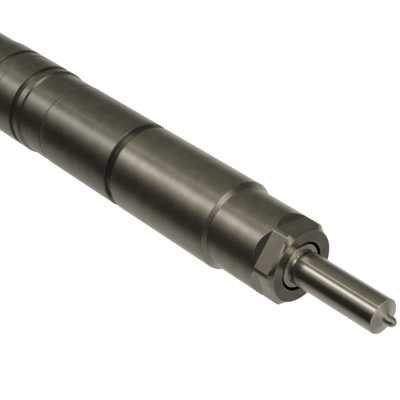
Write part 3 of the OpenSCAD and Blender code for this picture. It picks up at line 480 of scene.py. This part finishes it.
def softened(corners):
    """Corners are (station, radius) or (station, radius, round); returns the outline with arcs.
    One more point beside each arc keeps the shading of the flat face next to it flat."""
    outline = []
    count = len(corners)
    for index, corner in enumerate(corners):
        here = Vector(corner[:2])
        if len(corner) == 2:
            outline.append(tuple(here))
            continue
        before = Vector(corners[index - 1][:2]) - here
        after = Vector(corners[(index + 1) % count][:2]) - here
        half = before.angle(after) / 2
        back = min(corner[2] / tan(half), MOST_OF_SIDE * before.length, MOST_OF_SIDE * after.length)
        before, after = before.normalized(), after.normalized()
        centre = here + (before + after).normalized() * (back / cos(half))
        first, last = here + before * back - centre, here + after * back - centre
        outline.append(tuple(centre + first + before * SUPPORT))
        for step in range(ROUND_STEPS + 1):
            outline.append(tuple(centre + first.slerp(last, step / ROUND_STEPS) * first.length))
        outline.append(tuple(centre + last + after * SUPPORT))
    return outline


# %% [markdown]
# The lathe turns an outline into rings of points and joins each ring to the next. A point on the
# axis stays one point, so that an end closes in a fan instead of in a heap of doubled corners.

# %% The lathe
SHARP = radians(38)
SEGMENTS = 192


def spin(outline, segments=SEGMENTS, shape=None):
    """Points and faces of the outline spun round X, in millimetres. shape(station, radius, angle)
    gives the radius at that angle."""
    points, rings = [], []
    for station, radius in outline:
        count = segments if radius > 1e-6 else 1
        rings.append((len(points), count))
        for step in range(count):
            angle = 2 * pi * step / segments
            reach = shape(station, radius, angle) if shape else radius
            points.append((station, reach * cos(angle), reach * sin(angle)))
    faces = []
    follow = rings[1:] + (rings[:1] if rings[0][1] > 1 else [])
    for (start, count), (next_start, next_count) in zip(rings, follow):
        for step in range(segments):
            turn = (step + 1) % segments
            ring = (start + step % count, start + turn % count)
            ahead = (next_start + turn % next_count, next_start + step % next_count)
            face = list(dict.fromkeys(ring + ahead))
            if len(face) > 2:
                faces.append(face)
    return points, faces


def piece(name, points, faces, turn=None):
    """A mesh object from points in millimetres; turn moves each point into place if it is given."""
    mesh = bpy.data.meshes.new(name)
    placed = [turn(Vector(point)) if turn else Vector(point) for point in points]
    mesh.from_pydata([point * MM for point in placed], [], faces)
    work = bmesh.new()
    work.from_mesh(mesh)
    bmesh.ops.remove_doubles(work, verts=work.verts, dist=1e-7)
    bmesh.ops.recalc_face_normals(work, faces=work.faces)
    work.to_mesh(mesh)
    work.free()
    mesh.shade_smooth()
    mesh.set_sharp_from_angle(angle=SHARP)
    made = bpy.data.objects.new(name, mesh)
    bpy.context.collection.objects.link(made)
    return made


def stand_for(made, node):
    """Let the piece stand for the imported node, in the same finish."""
    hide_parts(node)
    print(made.name, len(made.data.polygons), "faces for", node)
    return made


def dress(made, finish):
    made.data.materials.clear()
    made.data.materials.append(FINISHES[finish])


def fit(made, node, finish):
    """Finish a fixed piece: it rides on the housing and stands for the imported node."""
    dress(made, finish)
    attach(made, "housing")
    return stand_for(made, node)


# %% [markdown]
# The main stations and radii are read from the imported pieces and their mounts. The smaller ones
# are given in each piece's own cell.

# %% Stations taken from the frame
def ends(node, axis=0):
    """The lowest and highest coordinate of a node along an axis, in millimetres."""
    low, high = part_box(node)
    return low[axis] / MM, high[axis] / MM


def mount_radius(name):
    return mounts[name]["dims"]["r_mm"]


NOZZLE_TOP, TIP = ends("nozzle_body")
NUT_TOP, NUT_END = ends("nozzle_nut")
BODY_TOP = ends("injector_body")[0]
SHANK_R = mount_radius("nozzle_shank")
NOSE_R = mount_radius("nut_nose")
BARREL_R = mount_radius("nut_barrel")
LAND_R = mount_radius("guide_land")
HEAD_R = ends("nozzle_body", 2)[1]
print("nozzle", NOZZLE_TOP, TIP, "nut", NUT_TOP, "radii", SHANK_R, NOSE_R, BARREL_R, LAND_R, HEAD_R)

# %% [markdown]
# ## Nozzle
# One bar of hardened steel: a long ground shank that ends in a shallow cone and a small domed
# sac, a collar with a rounded front edge that sits just inside the nut, and a wide head that the
# nut clamps. Inside, it is bored for the needle, with a fuel gallery and a sixty degree seat. The
# whole outline, inside and outside, is one line from the bottom of the sac bore, up the bore,
# across the lapped face and back down the outside to the tip.
# A spun outline has no cross holes: the six spray holes, the feed drilling and the two dowel holes
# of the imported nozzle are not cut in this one.

# %% Nozzle
SAC_R = 0.95
SAC_BORE_R = 0.5
COLLAR_R = 4.5
COLLAR_FRONT = -0.15
ROOT_R = SHANK_R + 0.22
ROOT_END = 0.6
NUT_FLOOR = -5.0
SHANK_END = TIP - 2.85
CONE_END = TIP - 2.0
SAC_ROOT = CONE_END + 0.05
SAC_MOUTH = TIP - 1.748
STEM_BORE_R = 1.8
GALLERY_R = 3.0
GALLERY_FRONT, GALLERY_BACK = -8.5, -10.5
GALLERY_CONE = 1.0
GUIDE_R = ends("nozzle_needle", 2)[1] + 0.02
SEAT_TOP = TIP - 4.0
DOME_STEPS = 10


def nozzle_outline():
    sac_centre = TIP - SAC_R
    turns = [pi / 2 * step / DOME_STEPS for step in range(1, DOME_STEPS + 1)]
    bore_dome = [(sac_centre + SAC_BORE_R * cos(a), SAC_BORE_R * sin(a)) for a in turns]
    inside = [
        (SAC_MOUTH, SAC_BORE_R), (SEAT_TOP, STEM_BORE_R), (GALLERY_FRONT + GALLERY_CONE, STEM_BORE_R),
        (GALLERY_FRONT, GALLERY_R), (GALLERY_BACK, GALLERY_R), (GALLERY_BACK - GALLERY_CONE, GUIDE_R),
        (NOZZLE_TOP, GUIDE_R)
    ]
    outside = softened([
        (NOZZLE_TOP, GUIDE_R), (NOZZLE_TOP, HEAD_R, 0.2), (NUT_FLOOR, HEAD_R, 0.2),
        (NUT_FLOOR, COLLAR_R, 0.05), (COLLAR_FRONT, COLLAR_R, 0.5), (COLLAR_FRONT, ROOT_R, 0.15),
        (ROOT_END, SHANK_R, 0.5), (SHANK_END, SHANK_R, 0.1), (SAC_ROOT, SAC_R, 0.45), (sac_centre, SAC_R)
    ])[1:]
    tip_dome = [(sac_centre + SAC_R * sin(a), SAC_R * cos(a)) for a in turns[:-1]]
    return [(sac_centre + SAC_BORE_R, 0), *bore_dome, *inside, *outside, *tip_dome, (TIP, 0)]


nozzle = piece("nozzle", *spin(nozzle_outline()))
fit(nozzle, "nozzle_body", "bright_steel")

# %% [markdown]
# ## Nozzle nut
# The nut is a sleeve screwed on the body. Its nose is milled with six flats that stop at a short
# slope, so that crescents of the round nose are left between the corners. Near a flat the radius
# is the smaller of the turned one and the distance to the flat plane; mixing the two smoothly over a
# few hundredths of a millimetre breaks the edge between them, as a deburring brush does.

# %% Nozzle nut
FLAT_APART = 15.0
FLAT_TURN = radians(22)
FLAT_LENGTH = 4.3
EDGE_BLEND = 0.07
RUN_OUT = 1.2
RUN_OUT_SLOPE = 0.85
RUN_OUT_STEPS = 24
NOSE_END = -16.85
BARREL_START = -17.6
NUT_BORE_R = 5.0
NUT_BORE_EDGE = 0.15
NUT_RING_R = 7.35
NUT_CHAMFER = 0.9
NUT_CAVITY_R = 7.3
NUT_THREAD_R = 8.15
NUT_THREAD_START = -25.6
NUT_ENTRY = -44.4
NUT_ENTRY_R = 8.55


def smaller(first, second, blend):
    """The smaller of two lengths, with a round of about the blend where they meet."""
    gap = max(blend - abs(first - second), 0) / blend
    return min(first, second) - gap * gap * blend / 4


def hexagon(angle, across, turn):
    """Distance from the axis to the flats of a hexagon at this angle."""
    off = (angle - turn) % (pi / 3)
    return across / 2 / cos(min(off, pi / 3 - off))


def nut_shape(station, radius, angle):
    if station < -FLAT_LENGTH - RUN_OUT or radius < COLLAR_R + 1.5:
        return radius
    slope = max(-FLAT_LENGTH - station, 0) * RUN_OUT_SLOPE
    return smaller(radius, hexagon(angle, FLAT_APART, FLAT_TURN) + slope, EDGE_BLEND)


def nut_outline():
    run_out = [(-FLAT_LENGTH - RUN_OUT * step / RUN_OUT_STEPS, NOSE_R) for step in range(RUN_OUT_STEPS + 1)]
    front = softened([
        (-6, NUT_BORE_R), (NUT_END, NUT_BORE_R + NUT_BORE_EDGE, 0.05), (NUT_END, NUT_RING_R, 0.12),
        (-NUT_CHAMFER, NOSE_R, 0.15), (-2.5, NOSE_R)
    ])
    back = softened([
        (-7, NOSE_R), (NOSE_END, NOSE_R, 0.2), (BARREL_START, BARREL_R, 0.15), (NUT_TOP, BARREL_R, 0.2),
        (NUT_TOP, NUT_ENTRY_R, 0.1), (NUT_ENTRY, NUT_THREAD_R), (NUT_THREAD_START, NUT_THREAD_R),
        (NUT_THREAD_START, NUT_CAVITY_R), (NUT_FLOOR, NUT_CAVITY_R), (NUT_FLOOR, NUT_BORE_R, 0.1),
        (-NUT_BORE_EDGE, NUT_BORE_R)
    ])
    return front[1:] + [(-FLAT_LENGTH + 0.02, NOSE_R)] + run_out + back[1:]


nut = piece("nozzle_cap_nut", *spin(nut_outline(), 720, nut_shape))
fit(nut, "nozzle_nut", "nut_steel")

# %% [markdown]
# ## Injector body
# One long forging, turned between centres: threaded under the nut, a neck that shows as a dark gap
# behind it, a long bare barrel with fine tool lines, a slightly wider land with two grooves for
# sealing rings, then a cone up to the head. The head has two milled flats for the hold-down fork and
# a boss on one side for the fuel inlet. The turned shape and its bore are one outline. The boss,
# the flats and the drillings are not round about this axis, so each is a simple closed shape that
# is joined to the bar or cut from it with an exact boolean. The two dowel holes in the front face,
# which the nozzle covers, are left out.

# %% Injector body outline
BODY_R = 9.4
WAIST_R = 9.3
NECK_R = 8.1
BODY_FRONT = -26.0
SHOULDER = -46.85
FIRST_LINE = -68.45
LAND_START = -75.9
FIRST_GROOVE = -77.9
SECOND_LINE = -85.9
SECOND_GROOVE = -88.25
LAND_END = -96.0
CONE_FROM, CONE_TO = -112.0, -116.0
HEAD_R_TOP = 13.5
TOP_THREAD_R = 12.0
TOP_THREAD_ROOT_R = TOP_THREAD_R - 0.75
TOP_THREAD_START = -148.0
ROD_BORE_R = 2.5
SPRING_BORE_R = 3.75
SPRING_ROOM = -51.0
VALVE_BORE_R = 6.5
VALVE_FLANGE_R = 8.2
VALVE_LEDGE = -134.0
VALVE_TOP = -138.0
CLAMP_THREAD_R = 8.55
POLE_BORE_R = 10.22
POLE_SEAT = -152.0
MOUTH_EDGE = 0.5
LINE_DEPTH = 0.13
LINE_HALF = 0.22
GROOVE_WIDTH = 1.55
GROOVE_DEPTH = 0.9
THREAD_PITCH = 1.5


def tool_line(station, radius):
    return [
        (station + LINE_HALF, radius, 0.1), (station, radius - LINE_DEPTH, 0.05),
        (station - LINE_HALF, radius, 0.1)
    ]


def ring_groove(start, radius):
    end = start - GROOVE_WIDTH
    floor = radius - GROOVE_DEPTH
    return [(start, radius, 0.1), (start, floor, 0.15), (end, floor, 0.15), (end, radius, 0.1)]


def screw_thread(start, end, radius, pitch):
    """Rings of a thread drawn as grooves; good enough where a nut hides all but the last turn."""
    turns = int(abs(end - start) / pitch)
    step = (end - start) / turns
    corners = []
    for turn in range(turns):
        crest, root = start + step * (turn + 0.25), start + step * (turn + 0.75)
        corners += [(crest, radius), (root, radius - pitch * 0.5)]
    return corners


def body_outline():
    outside = [
        (BODY_FRONT, NECK_R - 0.6), (BODY_FRONT - 0.6, NECK_R), (SHOULDER, NECK_R, 0.15),
        (SHOULDER, BODY_R, 0.2), (FIRST_LINE + 0.3, BODY_R, 0.1), *tool_line(FIRST_LINE - 0.2, WAIST_R),
        (LAND_START, WAIST_R, 0.1), (LAND_START - 0.4, LAND_R, 0.15), *ring_groove(FIRST_GROOVE, LAND_R),
        *tool_line(SECOND_LINE, LAND_R), *ring_groove(SECOND_GROOVE, LAND_R),
        (LAND_END + 0.4, LAND_R, 0.15), (LAND_END, BODY_R, 0.1), (CONE_FROM, BODY_R, 2.0),
        (CONE_TO, HEAD_R_TOP, 0.8), (TOP_THREAD_START + 0.6, HEAD_R_TOP, 0.3),
        (TOP_THREAD_START, HEAD_R_TOP - 0.6, 0.2), (TOP_THREAD_START, TOP_THREAD_ROOT_R),
        (TOP_THREAD_START - 1.2, TOP_THREAD_ROOT_R),
        *screw_thread(TOP_THREAD_START - 1.4, -155.0, TOP_THREAD_R, THREAD_PITCH),
        (-155.3, TOP_THREAD_R), (BODY_TOP, TOP_THREAD_R - 0.8)
    ]
    inside = [
        (BODY_TOP, POLE_BORE_R + MOUTH_EDGE), (-155.5, POLE_BORE_R), (POLE_SEAT, POLE_BORE_R),
        (POLE_SEAT, CLAMP_THREAD_R), (VALVE_TOP, CLAMP_THREAD_R), (VALVE_TOP, VALVE_FLANGE_R),
        (VALVE_LEDGE, VALVE_FLANGE_R), (VALVE_LEDGE, VALVE_BORE_R), (CONE_TO, VALVE_BORE_R),
        (CONE_TO, ROD_BORE_R), (SPRING_ROOM, ROD_BORE_R), (SPRING_ROOM, SPRING_BORE_R),
        (BODY_FRONT, SPRING_BORE_R)
    ]
    return softened(outside + inside)


# %% [markdown]
# The cutters are plain blocks and rods. One that comes in from outside starts well clear of the
# surface, so that no two faces lie in one plane, and all are cleared away after use. Along the
# upper feed drilling and the inlet bore, which cross inside the head, the cut is not quite clean:
# some edges there belong to one face or to more than two.

# %% Boss, flats and drillings
BOSS_AT = -126.0
BOSS_R = 10.0
BOSS_ROOT = 9.0
BOSS_END = 17.5
POCKET_R = 6.05
POCKET_FLOOR = 12.0
INLET_BORE_FROM = 5.0
INLET_BORE_MORE = 0.2
CLAMP_FLAT = 11.5
CUTTER_REACH = 30
CLAMP_FROM, CLAMP_TO = -137.0, -146.0
FEED_R = 0.8
FEED_OFF = 5.4
FEED_BEND = -105.0
FEED_TOP = 10.5


def upright(point):
    """Stand a piece that was turned about X on the inlet's own axis, which points up along Z."""
    return Vector((BOSS_AT - point.z, point.y, point.x))


def block(name, low, high):
    """A closed block between two corners, only ever used as a cutter."""
    points = [(x, y, z) for x in (low[0], high[0]) for y in (low[1], high[1]) for z in (low[2], high[2])]
    faces = [(0, 1, 3, 2), (4, 6, 7, 5), (0, 4, 5, 1), (2, 3, 7, 6), (0, 2, 6, 4), (1, 5, 7, 3)]
    return piece(name, points, faces)


def rod(name, start, end, radius, segments=32):
    """A closed round bar between two points, used as a cutter for a drilling."""
    start, end = Vector(start), Vector(end)
    along = (end - start).to_track_quat("X", "Z")
    length = (end - start).length
    outline = [(0, 0), (0, radius), (length, radius), (length, 0)]
    return piece(name, *spin(outline, segments), turn=lambda point: start + along @ point)


def combine(target, tools, operation):
    """Join the tools to the target, or cut them from it, and clear them away."""
    for tool in tools:
        modifier = target.modifiers.new(tool.name, "BOOLEAN")
        modifier.operation = operation
        modifier.solver = "EXACT"
        modifier.object = tool
    bpy.context.view_layer.update()
    shape = target.evaluated_get(bpy.context.evaluated_depsgraph_get())
    mesh = bpy.data.meshes.new_from_object(shape)
    target.modifiers.clear()
    target.data = mesh
    for tool in tools:
        bpy.data.objects.remove(tool)
    mesh.shade_smooth()
    mesh.set_sharp_from_angle(angle=SHARP)
    return target


def make_body():
    body = piece("long_body", *spin(body_outline(), 256))
    rim = softened([
        (BOSS_ROOT, 0), (BOSS_ROOT, BOSS_R - 0.3), (BOSS_END, BOSS_R, 0.5), (BOSS_END, 0)
    ])[2:-1]
    boss_outline = [(BOSS_ROOT, 0), (BOSS_ROOT, BOSS_R), *rim, (BOSS_END, 0)]
    boss = piece("boss", *spin(boss_outline, 160), turn=upright)
    combine(body, [boss], "UNION")
    inlet_end = (BOSS_AT, 0, POCKET_FLOOR + 0.5)
    lower_end = (FEED_BEND - 2 * FEED_R, 0, FEED_OFF)
    cutters = [
        rod("pocket", (BOSS_AT, 0, POCKET_FLOOR), (BOSS_AT, 0, BOSS_END + 3), POCKET_R, 96),
        rod("inlet_bore", (BOSS_AT, 0, INLET_BORE_FROM), inlet_end, FEED_R + INLET_BORE_MORE),
        rod("feed_lower", (BODY_FRONT + 2, 0, FEED_OFF), lower_end, FEED_R),
        rod("feed_upper", (FEED_BEND, 0, FEED_OFF), (BOSS_AT, 0, FEED_TOP), FEED_R)
    ]
    for side in (-1, 1):
        near, far = sorted((side * CLAMP_FLAT, side * CUTTER_REACH))
        low, high = (CLAMP_TO, near, -CUTTER_REACH), (CLAMP_FROM, far, CUTTER_REACH)
        cutters.append(block("clamp_flat", low, high))
    return combine(body, cutters, "DIFFERENCE")


long_body = make_body()
fit(long_body, "injector_body", "body_steel")

# %% [markdown]
# ## Inlet connector
# The high-pressure pipe screws on here. It is its own turned piece, screwed in the boss: a hexagon,
# an M14 thread and a sixty degree cone mouth. The thread is a real helix: along the threaded part
# the radius follows a V whose depth depends on how far the angle has carried the groove forward.

# %% Inlet connector
INLET_R = mount_radius("inlet_thread")
CONNECTOR_FLOOR, CONNECTOR_END = ends("inlet_connector", 2)
INLET_ACROSS = 17.0
INLET_CORNER_R = 9.9
SCREW_IN_R = 6.0
HEX_TOP = BOSS_END + 4.5
NECK_END = HEX_TOP + 2.0
MOUTH_R = 5.2
FILTER_BORE_R = 1.62
CONNECTOR_ROWS = 110
THREAD_FADE = 1.2
THREAD_DEPTH = 0.61


def inlet_shape(station, radius, angle):
    if BOSS_END - 0.01 < station < HEX_TOP + 0.01 and radius > INLET_R + 0.6:
        return smaller(radius, hexagon(angle, INLET_ACROSS, 0), EDGE_BLEND)
    threaded = NECK_END < station < CONNECTOR_END - 0.4 and radius > INLET_R - 0.9
    if not threaded:
        return radius
    climb = (station / THREAD_PITCH - angle / (2 * pi)) % 1.0
    ridge = abs(2 * climb - 1)
    fade = min((station - NECK_END) / THREAD_FADE, 1.0)
    groove = min(max(1.15 * ridge - 0.1, 0), 0.92) * THREAD_DEPTH * THREAD_PITCH
    return radius - groove * fade


def inlet_outline():
    thread_run = CONNECTOR_END - 0.8 - NECK_END
    thread = [(NECK_END + thread_run * row / CONNECTOR_ROWS, INLET_R) for row in range(CONNECTOR_ROWS + 1)]
    lower = softened([
        (CONNECTOR_FLOOR, FILTER_BORE_R), (CONNECTOR_FLOOR, SCREW_IN_R - 0.6),
        (CONNECTOR_FLOOR + 0.6, SCREW_IN_R), (BOSS_END, SCREW_IN_R), (BOSS_END, 8.6, 0.1),
        (BOSS_END + 0.8, INLET_CORNER_R, 0.1), (HEX_TOP - 0.8, INLET_CORNER_R, 0.1), (HEX_TOP, 8.5, 0.1),
        (HEX_TOP, INLET_R - 1, 0.2), (HEX_TOP + 1, INLET_R - 1, 0.2), (NECK_END - 0.1, INLET_R - 0.1)
    ])
    upper = softened([
        (CONNECTOR_END - 3, INLET_R), (CONNECTOR_END, INLET_R - 0.8, 0.1), (CONNECTOR_END, MOUTH_R, 0.1),
        (CONNECTOR_END - (MOUTH_R - FILTER_BORE_R) / tan(radians(30)), FILTER_BORE_R)
    ])
    return lower + thread + upper[1:]


connector = piece("inlet_fitting", *spin(inlet_outline(), 144, inlet_shape), turn=upright)
fit(connector, "inlet_connector", "fitting_steel")

# %% [markdown]
# ## Solenoid nut
# A big hexagon nut holds the solenoid on the head. Both ends are turned to thirty degree cones, so
# each corner is cut back in a curve. The same hexagon function as on the nozzle nut does it.

# %% Solenoid nut
CAP_NUT_BACK, CAP_NUT_FRONT = ends("solenoid_nut")
CAP_NUT_ACROSS = 2 * ends("solenoid_nut", 1)[1]
CAP_NUT_CORNER = CAP_NUT_ACROSS / 2 / cos(pi / 6)
CAP_NUT_BORE_R = 12.05
CAP_NUT_MOUTH_R = 10.27
CAP_NUT_LEDGE = -160.4
CAP_NUT_CONE = 1.6
CONE_STEPS = 10


def cap_nut_shape(station, radius, angle):
    if radius < CAP_NUT_ACROSS / 2 - 1.2:
        return radius
    return smaller(radius, hexagon(angle, CAP_NUT_ACROSS, 0), 3 * EDGE_BLEND)


def cap_nut_outline():
    face = CAP_NUT_ACROSS / 2 - 0.3
    shares = [step / CONE_STEPS for step in range(CONE_STEPS + 1)]
    slope = [(share * CAP_NUT_CONE, face + share * (CAP_NUT_CORNER - face)) for share in shares]
    front = [(CAP_NUT_FRONT - rise, reach) for rise, reach in slope]
    back = [(CAP_NUT_BACK + rise, reach) for rise, reach in reversed(slope)]
    mouth = softened([
        (CAP_NUT_BACK + 3, face), (CAP_NUT_BACK, face, 0.2), (CAP_NUT_BACK, CAP_NUT_MOUTH_R, 0.15),
        (CAP_NUT_LEDGE, CAP_NUT_MOUTH_R), (CAP_NUT_LEDGE, CAP_NUT_BORE_R),
        (CAP_NUT_FRONT, CAP_NUT_BORE_R, 0.2), (CAP_NUT_FRONT, face, 0.2), (CAP_NUT_FRONT - 3, face)
    ])
    return mouth[1:-1] + front[1:] + back[:-1]


cap_nut = piece("solenoid_cap_nut", *spin(cap_nut_outline(), 360, cap_nut_shape))
fit(cap_nut, "solenoid_nut", "cap_nut_steel")

# %% [markdown]
# ## Leak-off spigot
# A small plated tube pressed in the cap. Its two barbs grip the leak-off hose.

# %% Leak-off spigot
SPIGOT_END, SPIGOT_ROOT = ends("return_spigot")
SPIGOT_R = 2.7
SPIGOT_BORE_R = 1.3
SPIGOT_COLLAR = 1
BARB_OUT = 0.5
FIRST_BARB, SECOND_BARB = 2.8, 5.2
CAP_END = ends("connector_cap")[0]


def spigot_outline():
    end = SPIGOT_END
    return softened([
        (SPIGOT_ROOT, SPIGOT_BORE_R), (SPIGOT_ROOT, SPIGOT_R, 0.1), (CAP_END, SPIGOT_R),
        (CAP_END, SPIGOT_R + SPIGOT_COLLAR, 0.15), (CAP_END - SPIGOT_COLLAR, SPIGOT_R + SPIGOT_COLLAR, 0.2),
        (CAP_END - SPIGOT_COLLAR, SPIGOT_R, 0.3), (end + SECOND_BARB, SPIGOT_R, 0.2),
        (end + SECOND_BARB, SPIGOT_R + BARB_OUT, 0.08), (end + 3.2, SPIGOT_R, 0.3),
        (end + FIRST_BARB, SPIGOT_R, 0.1), (end + FIRST_BARB, SPIGOT_R + BARB_OUT, 0.08),
        (end, SPIGOT_R - 0.5, 0.25), (end, SPIGOT_BORE_R, 0.15)
    ])


spigot = piece("leak_off_spigot", *spin(spigot_outline(), 96))
fit(spigot, "return_spigot", "fitting_steel")

# %% [markdown]
# ## Connector cap
# A black moulding over the solenoid, with the plug's socket standing out to one side. The round part
# is spun like the steel pieces. The socket, the collar round it, the latch nose and the two ribs are
# blocks with rounded corners and edges, joined to it; then the plug's room and the slots for the two
# blades are cut out.

# %% Connector cap
SOCKET_AT = -173.7
SOCKET_MOUTH = ends("connector_cap", 1)[0]
CAP_FRONT = ends("connector_cap")[1]
CAP_R = ends("connector_cap", 2)[1]
CAP_TOP = -181.2
SHELL_TOP = -168.0
SHELL_BORE_R = 10.14
SPIGOT_HOLE_R = 2.72
CORNER_STEPS = 6
SOCKET_HALF_TALL, SOCKET_HALF_WIDE, SOCKET_CORNER = 5.5, 8.0, 3.0
SOCKET_ROOT = -10.4
SOCKET_FLOOR = -14.2
SOCKET_WALL = 1.5
RIM_OUT = 1.0
RIM_FROM, RIM_TO = -20.8, -19.2
BLADE_OFF = 2.8
BLADE_LEVEL = -6.4
SLOT_HALF_WIDE, SLOT_HALF_THICK = 1.12, 0.42


def rounded_ring(centre, half_tall, half_wide, corner, y):
    """A rounded rectangle at y, tall along X and wide along Z."""
    points = []
    for quarter, (side_x, side_z) in enumerate(((1, 1), (-1, 1), (-1, -1), (1, -1))):
        for step in range(CORNER_STEPS + 1):
            angle = (quarter + step / CORNER_STEPS) * pi / 2
            x = centre[0] + side_x * (half_tall - corner) + corner * cos(angle)
            z = centre[1] + side_z * (half_wide - corner) + corner * sin(angle)
            points.append((x, y, z))
    return points


def rounded_block(name, centre, half_tall, half_wide, corner, low, high, edge):
    """A block along Y with rounded corners, and with both ends' edges rounded too."""
    turns = [pi / 2 * step / ROUND_STEPS for step in range(ROUND_STEPS + 1)]
    profile = [(low + edge * (1 - cos(turn)), edge * (1 - sin(turn))) for turn in turns]
    profile += [(high - edge * (1 - cos(turn)), edge * (1 - sin(turn))) for turn in reversed(turns)]
    points, faces = [], []
    for y, inset in profile:
        points += rounded_ring(centre, half_tall - inset, half_wide - inset, corner - inset, y)
    count = 4 * (CORNER_STEPS + 1)
    for row in range(len(profile) - 1):
        for step in range(count):
            start, ahead = row * count + step, row * count + (step + 1) % count
            faces.append((start, ahead, ahead + count, start + count))
    faces.append(tuple(range(count)))
    faces.append(tuple(range(len(points) - count, len(points))))
    return piece(name, points, faces)


def make_cap():
    cap = piece("plug_cap", *spin(softened([
        (CAP_FRONT, SHELL_BORE_R, 0.15), (CAP_FRONT, CAP_R, 0.3), (CAP_TOP, CAP_R, 2.0), (CAP_TOP, 5.9, 0.6),
        (CAP_END, 5.1, 0.4), (CAP_END, SPIGOT_HOLE_R, 0.15), (SHELL_TOP, SPIGOT_HOLE_R),
        (SHELL_TOP, SHELL_BORE_R)
    ]), 128))
    centre = (SOCKET_AT, 0)
    socket = (SOCKET_HALF_TALL, SOCKET_HALF_WIDE, SOCKET_CORNER)
    rim = [size + RIM_OUT for size in socket]
    room = [size - SOCKET_WALL for size in socket]
    joined = [
        rounded_block("socket", centre, *socket, SOCKET_MOUTH, SOCKET_ROOT, 0.3),
        rounded_block("socket_collar", centre, *rim, RIM_FROM, RIM_TO, 0.35),
        rounded_block("latch_nose", (-179.75, 0), 1.05, 2.0, 0.45, -24.4, -21.8, 0.4)
    ]
    for side in (-1, 1):
        joined.append(rounded_block("rib", (-167.2, side * 5.0), 3.0, 0.6, 0.4, -17.2, SOCKET_ROOT, 0.3))
    combine(cap, joined, "UNION")
    cut = [rounded_block("plug_room", centre, *room, SOCKET_MOUTH - 2, SOCKET_FLOOR, 0.3)]
    near, far = SOCKET_AT - SLOT_HALF_THICK, SOCKET_AT + SLOT_HALF_THICK
    under, over = BLADE_LEVEL - SLOT_HALF_THICK, BLADE_LEVEL + SLOT_HALF_THICK
    for side in (-1, 1):
        inner, outer = side * BLADE_OFF - SLOT_HALF_WIDE, side * BLADE_OFF + SLOT_HALF_WIDE
        cut.append(block("blade_out", (near, -20, inner), (far, over, outer)))
        cut.append(block("blade_up", (near, under, inner), (-160, over, outer)))
    return combine(cap, cut, "DIFFERENCE")


cap = make_cap()
fit(cap, "connector_cap", "cap_plastic")

# %% [markdown]
# ## Springs
# The nozzle's closing spring stands between the needle's pressure pin and the housing, and the valve
# spring between the armature pin and the housing. Each is wound again here, with closed end turns.

# %% Springs
SIDES = 14
STEPS_PER_TURN = 40
CLOSED_PITCH = 0.98
CLOSING_COIL_R, CLOSING_WIRE, CLOSING_TURNS = 2.85, 1.3, 7
BALL_COIL_R, BALL_WIRE, BALL_TURNS = 1.45, 0.7, 8
CLOSING_REST = 1.4
BALL_REST = 0.8


def wound(name, mean_r, wire, start, end, turns):
    """A coil spring from start to end along X, with a closed turn at each end."""
    closed = CLOSED_PITCH * wire
    rise = (abs(end - start) - wire - 2 * closed) / (turns - 2)
    way = -1 if end < start else 1
    points, faces = [], []
    for step in range(turns * STEPS_PER_TURN + 1):
        turn = step / STEPS_PER_TURN
        open_turns = max(min(turn, turns - 1) - 1, 0)
        level = min(turn, 1) * closed + open_turns * rise + max(turn - turns + 1, 0) * closed
        station = start + way * (wire / 2 + level)
        across, up = sin(2 * pi * turn), cos(2 * pi * turn)
        for side in range(SIDES):
            angle = 2 * pi * side / SIDES
            reach = mean_r + wire / 2 * cos(angle)
            points.append((station + way * wire / 2 * sin(angle), reach * across, reach * up))
    for step in range(turns * STEPS_PER_TURN):
        for side in range(SIDES):
            here, ahead = step * SIDES + side, step * SIDES + (side + 1) % SIDES
            faces.append((here, ahead, ahead + SIDES, here + SIDES))
    faces.append(tuple(range(SIDES)))
    faces.append(tuple(range(len(points) - SIDES, len(points))))
    return piece(name, points, faces)


def fit_spring(made, node, moving, start, end):
    """Finish a spring, bake its placement into the mesh and let it stand for the imported node; moving,
    start and end are not used.
    """
    dress(made, "spring_steel")
    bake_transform(made)
    return stand_for(made, node)


SPRING_TOP, SPRING_FOOT = ends("nozzle_spring")
closing_coil = (CLOSING_COIL_R, CLOSING_WIRE, SPRING_FOOT, SPRING_TOP, CLOSING_TURNS)
closing_spring = wound("closing_spring", *closing_coil)
closing_ends = (SPRING_FOOT - CLOSING_REST, SPRING_TOP + CLOSING_REST)
fit_spring(closing_spring, "nozzle_spring", "needle", *closing_ends)
BALL_FOOT = ends("valve_spring")[1]
BALL_TOP = ends("force_shim")[1]
ball_coil = (BALL_COIL_R, BALL_WIRE, BALL_FOOT, BALL_TOP, BALL_TURNS)
ball_spring = wound("ball_valve_spring", *ball_coil)
fit_spring(ball_spring, "valve_spring", "armature", BALL_FOOT - BALL_REST, BALL_TOP + BALL_REST)
